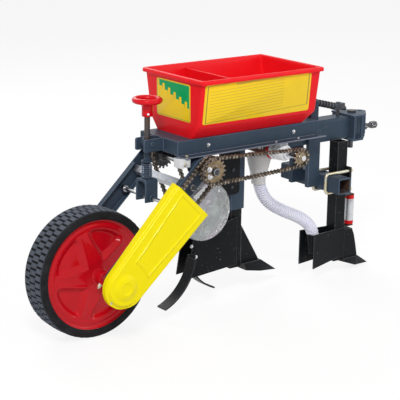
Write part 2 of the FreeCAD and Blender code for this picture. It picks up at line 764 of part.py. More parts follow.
def build_hopper():
    tub = hopper_body(0, 0, 0)
    lip = block(HOPPER_RIM_REAR, HOPPER_RIM_FRONT, -HOPPER_RIM_HALF, HOPPER_RIM_HALF,
                HOPPER_TOP - HOPPER_LIP, HOPPER_TOP)
    corners = [e for e in lip.Edges if abs(e.Length - HOPPER_LIP) < 0.01]
    lip = lip.makeFillet(HOPPER_LIP_WIDTH, corners)
    space = hopper_body(HOPPER_WALL, HOPPER_WALL, 1)
    wall = block(DIVIDER_X - DIVIDER_THICK / 2, DIVIDER_X + DIVIDER_THICK / 2, -HOPPER_RIM_HALF,
                 HOPPER_RIM_HALF, TRAY_TOP, HOPPER_TOP - DIVIDER_DROP)
    tub = tub.fuse(lip).cut(space).fuse(wall.common(hopper_body(0, 0, 0)))
    for x, y in outlet_places():
        tub = tub.cut(block(x - OUTLET_LENGTH / 2, x + OUTLET_LENGTH / 2, y - OUTLET_WIDTH / 2,
                            y + OUTLET_WIDTH / 2, TRAY_TOP - 1, TRAY_TOP + HOPPER_WALL + 1))
    put("hopper", tub.removeSplitter())


# ---- frame -------------------------------------------------------------------------------
def ear(outer_y, inner_y):
    """One of the two plates that carry the screw's trunnion."""
    z0 = TRAY_TOP - EAR_HEIGHT
    y0, y1 = sorted((outer_y, inner_y))
    plate = block(EAR_REAR, TRAY_REAR + TRAY_SHEET, y0, y1, z0, TRAY_TOP)
    ends = [e for e in plate.Edges if e.BoundBox.XMax < EAR_REAR + 0.1 and e.BoundBox.ZLength < 0.1]
    plate = plate.makeFillet(EAR_THICK, ends)
    return plate.cut(rod_y(*TRUNNION, TRUNNION_PIN + RUNNING_FIT, y0 - 1, y1 + 1))


def build_tray():
    outer = block(TRAY_REAR, TRAY_FRONT, -TRAY_HALF, TRAY_HALF, TRAY_BOTTOM, TRAY_TOP)
    inner = block(TRAY_REAR + TRAY_SHEET, TRAY_FRONT - TRAY_SHEET, -TRAY_HALF + TRAY_SHEET,
                  TRAY_HALF - TRAY_SHEET, TRAY_BOTTOM - 1, TRAY_TOP - TRAY_SHEET)
    tray = outer.cut(inner)
    ear_inner = TRUNNION_HALF + TRUNNION_SIDE_GAP
    for side in (-1, 1):
        tray = tray.fuse(ear(SCREW_Y + side * (ear_inner + EAR_THICK), SCREW_Y + side * ear_inner))
    slot = block(DRAWBAR_REAR, TRAY_FRONT + 1, -DRAWBAR_HALF, DRAWBAR_HALF, TRAY_BOTTOM - 1, DRAWBAR_TOP)
    tray = tray.cut(slot)
    for x, y in outlet_places():
        tray = tray.cut(block(x - OUTLET_LENGTH / 2, x + OUTLET_LENGTH / 2, y - OUTLET_WIDTH / 2,
                              y + OUTLET_WIDTH / 2, TRAY_TOP - TRAY_SHEET - 1, TRAY_TOP + 1))
    put("frame_tray", tray.removeSplitter())

    outer_y = TRAY_HALF + RAIL_REACH
    flange = prism_z([(RAIL_REAR, -RAIL_INNER), (RAIL_REAR + RAIL_CUT, -outer_y),
                      (RAIL_FRONT, -outer_y), (RAIL_FRONT - RAIL_CUT, -RAIL_INNER)], RAIL_BOTTOM, RAIL_TOP)
    leg = block(TRAY_REAR + TRAY_SHEET, TRAY_FRONT - TRAY_SHEET, -RAIL_INNER,
                -RAIL_INNER + RAIL_THICK, RAIL_BOTTOM, RAIL_BOTTOM + RAIL_LEG)
    put("side_rails", *both_sides(flange.fuse(leg).removeSplitter()))

    x, z = MIDDLE
    plate = block(x - HANGER_HALF_WIDTH, x + HANGER_HALF_WIDTH, -TRAY_HALF - HANGER_THICK, -TRAY_HALF,
                  z, RAIL_BOTTOM)
    plate = plate.fuse(rod_y(x, z, HANGER_HALF_WIDTH, -TRAY_HALF - HANGER_THICK, -TRAY_HALF))
    bush = rod_y(x, z, BUSH_RADIUS, -ARM_OUTER_Y - BUSH_PROUD, -TRAY_HALF + BUSH_INSET)
    collar = rod_y(x, z, BUSH_COLLAR, -ARM_OUTER_Y + ARM_WEB + BUSH_COLLAR_GAP, -TRAY_HALF)
    hanger = plate.fuse([bush, collar])
    hanger = hanger.cut(rod_y(x, z, MIDDLE_SHAFT_RADIUS + RUNNING_FIT, -200, 0))
    put("shaft_hangers", *both_sides(hanger.removeSplitter()))


def build_posts():
    half = POST_SIZE / 2
    put("middle_post", square_tube_z(MIDDLE_POST_REAR, -half, POST_SIZE, POST_WALL,
                                     POST_BOTTOM, TRAY_TOP - TRAY_SHEET))
    bar = block(DRAWBAR_REAR, DRAWBAR_FRONT, -DRAWBAR_HALF, DRAWBAR_HALF, DRAWBAR_BOTTOM, DRAWBAR_TOP)
    hole = block(DRAWBAR_REAR - 1, DRAWBAR_FRONT + 1, -DRAWBAR_HALF + DRAWBAR_WALL,
                 DRAWBAR_HALF - DRAWBAR_WALL, DRAWBAR_BOTTOM + DRAWBAR_WALL, DRAWBAR_TOP - DRAWBAR_WALL)
    put("drawbar", rounded_along(bar.cut(hole), "X", DRAWBAR_ROUND, 10))
    post = block(FRONT_POST_REAR, TOOL_BAR_REAR, -DRAWBAR_HALF - FRONT_POST_THICK, -DRAWBAR_HALF,
                 TOOL_BAR_BOTTOM + FRONT_POST_LIFT, FRONT_POST_TOP)
    put("front_posts", *both_sides(post))
    tool_bar = square_tube_y(TOOL_BAR_REAR, TOOL_BAR_BOTTOM, TOOL_BAR_SIZE, TOOL_BAR_WALL,
                             -TOOL_BAR_HALF, TOOL_BAR_HALF)
    put("tool_bar", rounded_along(tool_bar, "Y", TOOL_BAR_ROUND, 10))
    size = STAY_POST_SIZE / 2
    stay_post = block(STAY_POST_X - size, STAY_POST_X + size, -size, size, DRAWBAR_TOP, STAY_POST_TOP)
    put("stay_post", stay_post)
    half = STAY_EYE_HEIGHT / 2
    top = STAY_EYE_Z + half
    eye = Part.makeCylinder(STAY_EYE_RADIUS, STAY_EYE_HEIGHT, V(STAY_EYE_X, 0, STAY_EYE_Z - half))
    cheek = block(STAY_EYE_X - STAY_TAIL, STAY_EYE_X + STAY_TAIL, -STAY_ROD_RADIUS - STAY_CHEEK,
                  STAY_ROD_RADIUS + STAY_CHEEK, STAY_EYE_Z - half, top)
    bolt = Part.makeCylinder(STAY_BOLT_RADIUS, top - DRAWBAR_TOP, V(STAY_EYE_X, 0, DRAWBAR_TOP))
    head = Part.makeCylinder(STAY_HEAD_RADIUS, STAY_BOLT_HEAD, V(STAY_EYE_X, 0, top))
    root = (STAY_POST_X + size, 0, STAY_POST_TOP - STAY_ROOT_DROP)
    stay = rod(STAY_ROD_RADIUS, root, (STAY_ROD_TIP, 0, STAY_ROD_TIP_Z))
    stay = stay.cut(stay_post).fuse([eye, cheek, bolt, head])
    put("stay_rod", stay.removeSplitter())


# ---- depth screw -------------------------------------------------------------------------
def build_depth_screw():
    x, z = TRUNNION
    barrel = rod_y(x, z, TRUNNION_RADIUS, SCREW_Y - TRUNNION_HALF, SCREW_Y + TRUNNION_HALF)
    pin_reach = TRUNNION_HALF + EAR_THICK + TRUNNION_PIN_PROUD
    barrel = barrel.fuse(rod_y(x, z, TRUNNION_PIN, SCREW_Y - pin_reach, SCREW_Y + pin_reach))
    bore = Part.makeCylinder(SCREW_RADIUS + SCREW_BORE_GAP, 60, V(x, SCREW_Y, z - 30))
    put("trunnion", barrel.cut(bore))

    screw = Part.makeCylinder(SCREW_RADIUS, SCREW_TOP - COLLAR_Z, V(x, SCREW_Y, COLLAR_Z))
    collar_top = COLLAR_Z + SPRING_LENGTH + SPRING_COLLAR
    collar = Part.makeCylinder(SPRING_COLLAR_RADIUS, SPRING_COLLAR, V(x, SCREW_Y, collar_top - SPRING_COLLAR))
    put("depth_screw", screw.fuse(collar).removeSplitter())
    spring = Part.makeCylinder(SPRING_RADIUS, SPRING_LENGTH, V(x, SCREW_Y, COLLAR_Z))
    hollow = Part.makeCylinder(SPRING_RADIUS - SPRING_WALL, SPRING_LENGTH + 2, V(x, SCREW_Y, COLLAR_Z - 1))
    put("screw_spring", spring.cut(hollow))

    wheel = Part.makeTorus(HANDWHEEL_RADIUS - HANDWHEEL_RIM, HANDWHEEL_RIM, V(x, SCREW_Y, HANDWHEEL_Z))
    hub_low = HANDWHEEL_HUB_LOW
    wheel = wheel.fuse(Part.makeCylinder(HANDWHEEL_HUB, HANDWHEEL_HUB_TOP - hub_low, V(x, SCREW_Y, hub_low)))
    for i in range(HANDWHEEL_SPOKES):
        angle = 2 * math.pi * i / HANDWHEEL_SPOKES
        tip = HANDWHEEL_RADIUS - HANDWHEEL_RIM
        end = (x + tip * math.cos(angle), SCREW_Y + tip * math.sin(angle), HANDWHEEL_Z)
        wheel = wheel.fuse(rod(SPOKE_RADIUS, (x, SCREW_Y, HANDWHEEL_Z), end))
    bore = Part.makeCylinder(SCREW_RADIUS, SCREW_TOP - hub_low + 1, V(x, SCREW_Y, hub_low - 1))
    put("handwheel", wheel.cut(bore))

    half_x = CLEVIS_LENGTH / 2
    half_y = CLEVIS_WIDTH / 2
    low = SCREW_ROD[1] - CLEVIS_BELOW_ROD
    clevis = block(x - half_x, x + half_x, SCREW_Y - half_y, SCREW_Y + half_y, low, COLLAR_Z)
    clevis = clevis.cut(block(x - half_x - 1, x + half_x + 1, SCREW_Y - half_y + CLEVIS_WALL,
                              SCREW_Y + half_y - CLEVIS_WALL, low - 1, COLLAR_Z - CLEVIS_WALL))
    hole = SCREW_ROD_RADIUS + CLEVIS_SLOT
    clevis = clevis.cut(rod_y(*SCREW_ROD, hole, SCREW_Y - half_y - 1, SCREW_Y + half_y + 1))
    put("screw_clevis", clevis)


# ---- shafts ------------------------------------------------------------------------------
def build_shafts():
    x, z = MIDDLE
    end = FRONT_CHAIN_Y - SHAFT_TAIL
    put("middle_shaft", rod_y(x, z, MIDDLE_SHAFT_RADIUS, end, ARM_OUTER_Y + SHAFT_PROUD))
    ra = pitch_radius(TEETH_WHEEL)
    rm = pitch_radius(TEETH_MIDDLE)
    rf = pitch_radius(TEETH_FRONT)
    leave, run = upper_tangent(AXLE, MIDDLE, ra, rm)
    over = math.ceil(run / CHAIN_PITCH) - run / CHAIN_PITCH
    wheel_seat = leave - over * 2 * math.pi / TEETH_MIDDLE
    front_leave, front_run = upper_tangent(MIDDLE, FRONT, rm, rf)
    meter_leave, meter_run = upper_tangent(MIDDLE, METER, rm, pitch_radius(TEETH_METER))
    inner = sprocket(MIDDLE, TEETH_MIDDLE, wheel_seat, WHEEL_CHAIN_Y, SPROCKET_HUB,
                     FRONT_CHAIN_Y - HUB_SHORT, -ARM_OUTER_Y - HUB_SHORT, MIDDLE_SHAFT_RADIUS)
    outer = sprocket(MIDDLE, TEETH_MIDDLE, front_leave, FRONT_CHAIN_Y, SPROCKET_HUB,
                     FRONT_CHAIN_Y - HUB_SHORT, FRONT_CHAIN_Y, MIDDLE_SHAFT_RADIUS)
    far = sprocket(MIDDLE, TEETH_MIDDLE, meter_leave, METER_CHAIN_Y, SPROCKET_HUB,
                   METER_CHAIN_Y - HUB_HALF, METER_CHAIN_Y + HUB_HALF, MIDDLE_SHAFT_RADIUS)
    put("middle_sprockets", inner.fuse(outer).removeSplitter(), far)

    front_over = math.ceil(front_run / CHAIN_PITCH) - front_run / CHAIN_PITCH
    front_seat = front_leave - front_over * 2 * math.pi / TEETH_FRONT
    put("front_shaft", rod_y(*FRONT, FRONT_SHAFT_RADIUS, FRONT_CHAIN_Y - SHAFT_TAIL,
                             FERT_DRUM_HALF + FERT_SHAFT_PROUD))
    put("front_sprocket", sprocket(FRONT, TEETH_FRONT, front_seat, FRONT_CHAIN_Y, FRONT_HUB,
                                   FRONT_CHAIN_Y - HUB_SHORT, FRONT_CHAIN_Y + FRONT_HUB_REACH,
                                   FRONT_SHAFT_RADIUS))
    put("front_chain", *chain_bands(MIDDLE, FRONT, TEETH_MIDDLE, TEETH_FRONT, FRONT_CHAIN_Y))

    meter_over = math.ceil(meter_run / CHAIN_PITCH - 1e-9) - meter_run / CHAIN_PITCH
    meter_seat = meter_leave - meter_over * 2 * math.pi / TEETH_METER
    put("meter_sprocket", sprocket(METER, TEETH_METER, meter_seat, METER_CHAIN_Y, SPROCKET_HUB,
                                   METER_CHAIN_Y - HUB_HALF, METER_CHAIN_Y + HUB_HALF, METER_SHAFT_RADIUS))
    put("meter_chain", *chain_bands(MIDDLE, METER, TEETH_MIDDLE, TEETH_METER, METER_CHAIN_Y))


# ---- seed meter --------------------------------------------------------------------------
def build_meter():
    x, z = METER
    case_y0 = METER_FACE_Y + METER_COVER_DEPTH
    case_y1 = case_y0 + METER_CASE_DEPTH
    outer = rod_y(x, z, METER_RADIUS, case_y0, case_y1)
    inner = rod_y(x, z, METER_RADIUS - METER_WALL, case_y0 - 1, case_y1 - METER_WALL)
    boss = rod_y(x, z, METER_BOSS, case_y1 - METER_WALL, METER_CHAIN_Y - METER_BOSS_GAP)
    case = outer.cut(inner).fuse(boss)
    case = case.cut(rod_y(x, z, METER_SHAFT_RADIUS + RUNNING_FIT, case_y0 - 1, METER_CHAIN_Y))
    put("meter_housing", case.removeSplitter())

    cover = Part.makeCylinder(METER_RADIUS, METER_COVER_DEPTH, V(x, METER_FACE_Y, z), V(0, 1, 0))
    cover = cover.makeFillet(COVER_ROUND, rims(cover, "y", METER_FACE_Y, METER_RADIUS))
    hollow = Part.makeCylinder(METER_RADIUS - METER_WALL, METER_COVER_DEPTH,
                               V(x, METER_FACE_Y + METER_WALL, z), V(0, 1, 0))
    inside = rims(hollow, "y", METER_FACE_Y + METER_WALL, METER_RADIUS - METER_WALL)
    hollow = hollow.makeFillet(COVER_ROUND_INSIDE, inside)
    put("meter_cover", cover.cut(hollow))

    disc_y = case_y0 + METER_DISC_INSET
    disc = rod_y(x, z, METER_DISC_RADIUS, disc_y, disc_y + METER_DISC_THICK)
    shaft = rod_y(x, z, METER_SHAFT_RADIUS, disc_y - METER_SHAFT_REAR, METER_CHAIN_Y + METER_SHAFT_PROUD)
    put("seed_disc", disc.fuse(shaft).removeSplitter())

    seed_x, seed_y = outlet_places()[0]
    half_x = CHUTE_LENGTH / 2
    half_y = CHUTE_WIDTH / 2
    chute = block(seed_x - half_x, seed_x + half_x, seed_y - half_y, seed_y + half_y,
                  METER[1] + CHUTE_LIFT, TRAY_TOP - TRAY_SHEET)
    chute = chute.cut(rod_y(x, z, METER_RADIUS, -200, 200))
    put("seed_chute", chute)
    put("seed_gate", block(GATE_REAR, GATE_REAR + GATE_LENGTH, GATE_Y, GATE_Y + GATE_WIDTH,
                           RAIL_BOTTOM - GATE_HEIGHT, RAIL_BOTTOM))
    plate = block(BRACKET_REAR, BRACKET_FRONT, -POST_SIZE / 2 - BRACKET_THICK, -POST_SIZE / 2,
                  BRACKET_BOTTOM, RAIL_BOTTOM)
    low = [e for e in plate.Edges if e.BoundBox.ZMax < BRACKET_BOTTOM + 0.1 and e.BoundBox.XLength < 0.1]
    put("meter_bracket", plate.makeFillet(BRACKET_ROUND, low))


# ---- seed opener -------------------------------------------------------------------------
def build_seed_opener():
    inner = POST_SIZE / 2 - POST_WALL - SHANK_FIT
    centre = MIDDLE_POST_REAR + POST_SIZE / 2
    size = 2 * inner
    shank = square_tube_z(centre - inner, -inner, size, SEED_SHANK_WALL, BOOT_REAR_BOTTOM, SEED_SHANK_TOP)
    put("seed_shank", shank)

    shank_front = centre + inner
    side = [(BOOT_REAR, BOOT_REAR_BOTTOM), (BOOT_PLATE_FRONT, BOOT_FRONT_BOTTOM),
            (BOOT_PLATE_FRONT, BOOT_TOP), (BOOT_REAR + BOOT_REAR_LEAN, BOOT_TOP - BOOT_REAR_DROP)]
    plate = prism_y(side, -BOOT_HALF, BOOT_SHEET - BOOT_HALF)
    spacer = block(centre - inner, BOOT_PLATE_FRONT, -BOOT_HALF, -inner,
                   BOOT_FRONT_BOTTOM + BOOT_SHEET, BOOT_TOP - BOOT_SHEET)
    nose = [(shank_front, BOOT_FRONT_BOTTOM), (BOOT_WEB_FRONT, BOOT_FRONT_BOTTOM),
            (shank_front, BOOT_WEB_TOP)]
    web = prism_y(nose, -inner, inner)
    put("seed_boot", *both_sides(plate.fuse(spacer).removeSplitter()), web)

    top = BOOT_FRONT_BOTTOM
    share = [(shank_front, top), (BOOT_WEB_FRONT, top), (SEED_SHARE_TIP, SEED_SHARE_TIP_Z),
             (SEED_SHARE_REAR, SEED_SHARE_REAR_Z)]
    body = prism_y(share, -SEED_SHARE_HALF, SEED_SHARE_HALF)
    half = SEED_SHARE_HALF
    plan = prism_z([(0, -half), (BOOT_WEB_FRONT, -half), (SEED_SHARE_TIP, -SEED_TIP_HALF),
                    (SEED_SHARE_TIP, SEED_TIP_HALF), (BOOT_WEB_FRONT, half), (0, half)], 0, BOOT_TOP)
    put("seed_share", body.common(plan).removeSplitter())

    put("coverers", coverer(-1, -1, COVERER_BOLT_X, COVERER_BOLT_Z), coverer(1, 1, LEFT_BOLT_X, LEFT_BOLT_Z))


def coverer(side, heading, bolt_x, bolt_z):
    """A curved strip hung from its bolt tab, sweeping down and to the heading's end of the machine."""
    inner_y = side * BOOT_HALF
    y0, y1 = sorted((inner_y, inner_y + side * COVERER_WIDTH))
    width = y1 - y0
    ring = Part.makeCylinder(COVERER_RADIUS, width, V(0, y0, 0), V(0, 1, 0))
    ring = ring.cut(Part.makeCylinder(COVERER_RADIUS - COVERER_THICK, width + 2, V(0, y0 - 1, 0), V(0, 1, 0)))
    a0 = math.radians(-COVERER_START)
    a1 = math.radians(-COVERER_START - COVERER_SWEEP)
    far = COVERER_RADIUS * 2
    fan = [(0, 0), (far * math.cos(a0), far * math.sin(a0)), (far * math.cos(a1), far * math.sin(a1))]
    wedge = prism_y(fan, y0 - 1, y1 + 1)
    strip = ring.common(wedge)
    middle = COVERER_RADIUS - COVERER_THICK / 2
    strip.translate(V(-middle * math.cos(a0), 0, -middle * math.sin(a0)))
    if heading > 0:
        strip = strip.mirror(V(0, 0, 0), V(1, 0, 0))
    strip.translate(V(bolt_x, 0, bolt_z))
    t0, t1 = sorted((inner_y, inner_y + side * COVERER_THICK))
    tab = block(bolt_x - COVERER_THICK / 2, bolt_x + COVERER_TAB, t0, t1,
                bolt_z - COVERER_TAB, bolt_z + COVERER_THICK)
    return strip.fuse(tab).removeSplitter()


# ---- fertiliser meter --------------------------------------------------------------------
def build_fertiliser_meter():
    x, z = FRONT
    drum = rod_y(x, z, FERT_DRUM_RADIUS, -FERT_DRUM_HALF, FERT_DRUM_HALF)
    neck = block(x - FERT_NECK, x + FERT_DRUM_RADIUS, -FERT_NECK, FERT_NECK, z, TRAY_TOP - TRAY_SHEET)
    meter = drum.fuse(neck)
    meter = meter.cut(rod_y(x, z, FRONT_SHAFT_RADIUS + RUNNING_FIT, -100, 100))
    put("fertiliser_meter", meter.removeSplitter())

    top = z - CUP_TOP_DROP
    cup_x = HOSE_ROUTE[0][0]
    low = top - CUP_HEIGHT

    def cone(inset, z0, z1):
        return Part.makeCone(CUP_BOTTOM_RADIUS - inset, CUP_TOP_RADIUS - inset, z1 - z0, V(cup_x, 0, z0))

    spout = Part.makeCylinder(CUP_BOTTOM_RADIUS, CUP_SPOUT, V(cup_x, 0, low - CUP_SPOUT))
    cup = cone(0, low, top).fuse(spout).cut(cone(CUP_WALL, low, top))
    cup = cup.cut(Part.makeCylinder(HOSE_RADIUS, CUP_SPOUT + 2, V(cup_x, 0, low - CUP_SPOUT - 1)))
    put("fertiliser_cup", cup)

    arm_y = -FERT_DRUM_HALF
    sleeve = rod_y(x, z, BRACKET_SLEEVE, arm_y - BRACKET_SLEEVE_LENGTH, arm_y)
    lug = block(x - BRACKET_LUG_HALF, x + BRACKET_LUG_HALF, -TRAY_HALF - BRACKET_LUG_OUT,
                -TRAY_HALF + BRACKET_LUG_IN, z, RAIL_BOTTOM)
    bracket = sleeve.fuse(lug).cut(rod_y(x, z, FRONT_SHAFT_RADIUS + RUNNING_FIT, -200, 0))
    put("shaft_bracket", bracket.removeSplitter())


def hose_path():
    """Straight runs joined by tangent arcs, each as large as its two runs allow."""
    points = [V(*p) for p in HOSE_ROUTE]
    edges = []
    here = points[0]
    radii = []
    for before, corner, after in zip(points, points[1:], points[2:]):
        back = before - corner
        ahead = after - corner
        reach = 0.45 * min(back.Length, ahead.Length)
        turn = math.pi - back.getAngle(ahead)
        radius = reach / math.tan(turn / 2)
        radii.append(round(radius))
        first = corner + back.normalize() * reach
        last = corner + ahead.normalize() * reach
        middle = (back + ahead).normalize()
        bulge = radius / math.cos(turn / 2) - radius
        edges.append(Part.LineSegment(here, first).toShape())
        edges.append(Part.Arc(first, corner + middle * bulge, last).toShape())
        here = last
    edges.append(Part.LineSegment(here, points[-1]).toShape())
    print("hose bend radii", radii)
    return Part.Wire(edges)


def build_hose():
    path = hose_path()
    start, second = V(*HOSE_ROUTE[0]), V(*HOSE_ROUTE[1])
    section = Part.Wire(Part.makeCircle(HOSE_RADIUS, start, second - start))
    hose = path.makePipeShell([section], True, False)
    ideal = math.pi * HOSE_RADIUS ** 2 * path.Length
    print("hose length", round(path.Length), "volume ratio", round(hose.Volume / ideal, 4))
    put("fertiliser_hose", hose)


# ---- fertiliser opener -------------------------------------------------------------------
def build_fertiliser_opener():
    half = FERT_SHANK_SIZE / 2
    y0, y1 = FERT_SHANK_Y - half, FERT_SHANK_Y + half
    put("fertiliser_shank", square_tube_z(FERT_SHANK_REAR, y0, FERT_SHANK_SIZE, FERT_SHANK_WALL,
                                          FERT_SHANK_BOTTOM, FERT_SHANK_TOP))
    rear = FERT_SHANK_REAR - WING_LENGTH
    low = FERT_SHANK_BOTTOM
    wings = []
    for side in (-1, 1):
        near = FERT_SHANK_Y + side * half
        plan = [(FERT_SHANK_FRONT, near), (FERT_SHANK_REAR, near), (rear, near + side * (WING_SPREAD - half)),
                (rear, near + side * (WING_SPREAD - half + WING_THICK)),
                (FERT_SHANK_REAR, near + side * WING_THICK), (FERT_SHANK_FRONT, near + side * WING_THICK)]
        wing = prism_z(plan, low - WING_DROP, low + WING_HEIGHT)
        under = low - WING_DROP - 1
        below = [(rear - 1, under), (FERT_SHANK_FRONT + 1, under),
                 (FERT_SHANK_FRONT + 1, low + WING_LIFT), (rear - 1, low - WING_HEEL)]
        trim = prism_y(below, -200, 200)
        wings.append(wing.cut(trim))
    put("fertiliser_wings", *wings)

    x, y, z = HOSE_ROUTE[-1]
    foot = V(x, y, FUNNEL_BOTTOM)
    tall = FUNNEL_TOP - FUNNEL_BOTTOM
    mouth = HOSE_RADIUS + FUNNEL_WALL
    outer = Part.makeCone(FUNNEL_FOOT, mouth, tall, foot)
    inner = Part.makeCone(FUNNEL_FOOT - FUNNEL_WALL, mouth - FUNNEL_WALL, tall, foot)
    stay = block(x + FUNNEL_FOOT, FERT_SHANK_REAR, y - FUNNEL_STAY_HALF, y + FUNNEL_STAY_HALF,
                 FUNNEL_BOTTOM, FUNNEL_BOTTOM + FUNNEL_STAY_HEIGHT)
    funnel = outer.fuse(stay).cut(inner)
    put("fertiliser_funnel", funnel.removeSplitter())

    front = FERT_SHANK_FRONT
    foot = low + SHARE_TOP_RISE
    shin = [(front, SHIN_TOP)] + [(front + step, height) for step, height in SHIN_STEPS]
    shin += [(front + SHIN_FOOT, foot), (front, foot)]
    put("shin_plate", prism_y(shin, y0, y1))
    tip = FERT_SHARE_TIP
    bend = front + SHARE_BEND
    share = [(front - SHARE_HEEL, low), (front, low), (front, foot), (front + SHIN_FOOT, foot),
             (tip, FERT_SHARE_TIP_Z + FERT_TIP_THICK), (tip, FERT_SHARE_TIP_Z),
             (bend, FERT_SHARE_TIP_Z + SHARE_THICK)]
    body = prism_y(share, FERT_SHANK_Y - FERT_SHARE_HALF, FERT_SHANK_Y + FERT_SHARE_HALF)
    right = FERT_SHANK_Y - FERT_SHARE_HALF
    left = FERT_SHANK_Y + FERT_SHARE_HALF
    plan = prism_z([(0, right), (bend, right), (tip, FERT_SHANK_Y - FERT_TIP_HALF),
                    (tip, FERT_SHANK_Y + FERT_TIP_HALF), (bend, left), (0, left)], 0, SHIN_TOP)
    put("fertiliser_share", body.common(plan).removeSplitter())

    build_stubble_roller(front)
    build_clamp(front)


def build_stubble_roller(front):
    x = front + ROLLER_GAP + ROLLER_RADIUS_STUBBLE
    y = FERT_SHANK_Y
    z0 = ROLLER_CENTRE_Z - ROLLER_LENGTH / 2
    z1 = ROLLER_CENTRE_Z + ROLLER_LENGTH / 2
    roller = Part.makeCylinder(ROLLER_RADIUS_STUBBLE, ROLLER_LENGTH, V(x, y, z0))
    roller = roller.cut(Part.makeCylinder(ROLLER_PIN + RUNNING_FIT, ROLLER_LENGTH + 2, V(x, y, z0 - 1)))
    put("stubble_roller", roller)
    end = x + ROLLER_PLATE_REACH
    y0, y1 = y - ROLLER_PLATE_HALF, y + ROLLER_PLATE_HALF
    upper = z1 + ROLLER_END_GAP
    lower = z0 - ROLLER_END_GAP
    plates = [block(front, end, y0, y1, upper, upper + ROLLER_PLATE),
              block(front, end, y0, y1, lower - ROLLER_PLATE, lower)]
    pin = Part.makeCylinder(ROLLER_PIN, upper - lower + 2 * ROLLER_PLATE, V(x, y, lower - ROLLER_PLATE))
    put("roller_bracket", pin.fuse(plates).removeSplitter())


def build_clamp(front):
    half = FERT_SHANK_SIZE / 2
    z0 = TOOL_BAR_BOTTOM - CLAMP_OVERHANG
    z1 = TOOL_BAR_BOTTOM + TOOL_BAR_SIZE + CLAMP_OVERHANG
    reach = U_BOLT_SPACING / 2 + U_BOLT_RADIUS + CLAMP_MARGIN
    plate = block(front, front + CLAMP_THICK, FERT_SHANK_Y - reach, FERT_SHANK_Y + reach, z0, z1)
    bolts = []
    bolt_low = TOOL_BAR_BOTTOM - U_BOLT_RADIUS
    bolt_high = TOOL_BAR_BOTTOM + TOOL_BAR_SIZE + U_BOLT_RADIUS
    back = TOOL_BAR_REAR - U_BOLT_RADIUS
    tail = front + CLAMP_THICK + LEG_TAIL
    bend = U_BOLT_BEND
    for side in (-1, 1):
        y = FERT_SHANK_Y + side * U_BOLT_SPACING / 2
        for z in (bolt_low, bolt_high):
            hole = Part.makeCylinder(U_BOLT_RADIUS, CLAMP_THICK + 2, V(front - 1, y, z), V(1, 0, 0))
            plate = plate.cut(hole)
        k = bend * (1 - math.sqrt(0.5))
        top_end = V(tail, y, bolt_high)
        top_bend = V(back + bend, y, bolt_high)
        upper = V(back, y, bolt_high - bend)
        lower = V(back, y, bolt_low + bend)
        low_bend = V(back + bend, y, bolt_low)
        edges = [
            Part.LineSegment(top_end, top_bend).toShape(),
            Part.Arc(top_bend, V(back + k, y, bolt_high - k), upper).toShape(),
            Part.LineSegment(upper, lower).toShape(),
            Part.Arc(lower, V(back + k, y, bolt_low + k), low_bend).toShape(),
            Part.LineSegment(low_bend, V(tail, y, bolt_low)).toShape(),
        ]
        ring = Part.Wire(Part.makeCircle(U_BOLT_RADIUS, V(tail, y, bolt_high), V(-1, 0, 0)))
        bolts.append(Part.Wire(edges).makePipeShell([ring], True, False))
    put("clamp_plate", plate)
    put("u_bolts", *bolts)


# ---- hitch -------------------------------------------------------------------------------
def hitch_ear(z0, z1):
    """A wide plate that narrows to a rounded nose ahead of the king pin."""
    start = DRAWBAR_FRONT - HITCH_LAP
    half = HITCH_HALF
    nose = HITCH_NOSE_RADIUS
    centre = HITCH_NOSE - nose
    slab = prism_z([(start, -half), (HITCH_SHOULDER, -half), (centre + nose / 2, -HITCH_NECK_HALF),
                    (centre + nose / 2, HITCH_NECK_HALF), (HITCH_SHOULDER, half), (start, half)], z0, z1)
    return slab.fuse(Part.makeCylinder(nose, z1 - z0, V(centre, 0, z0)))


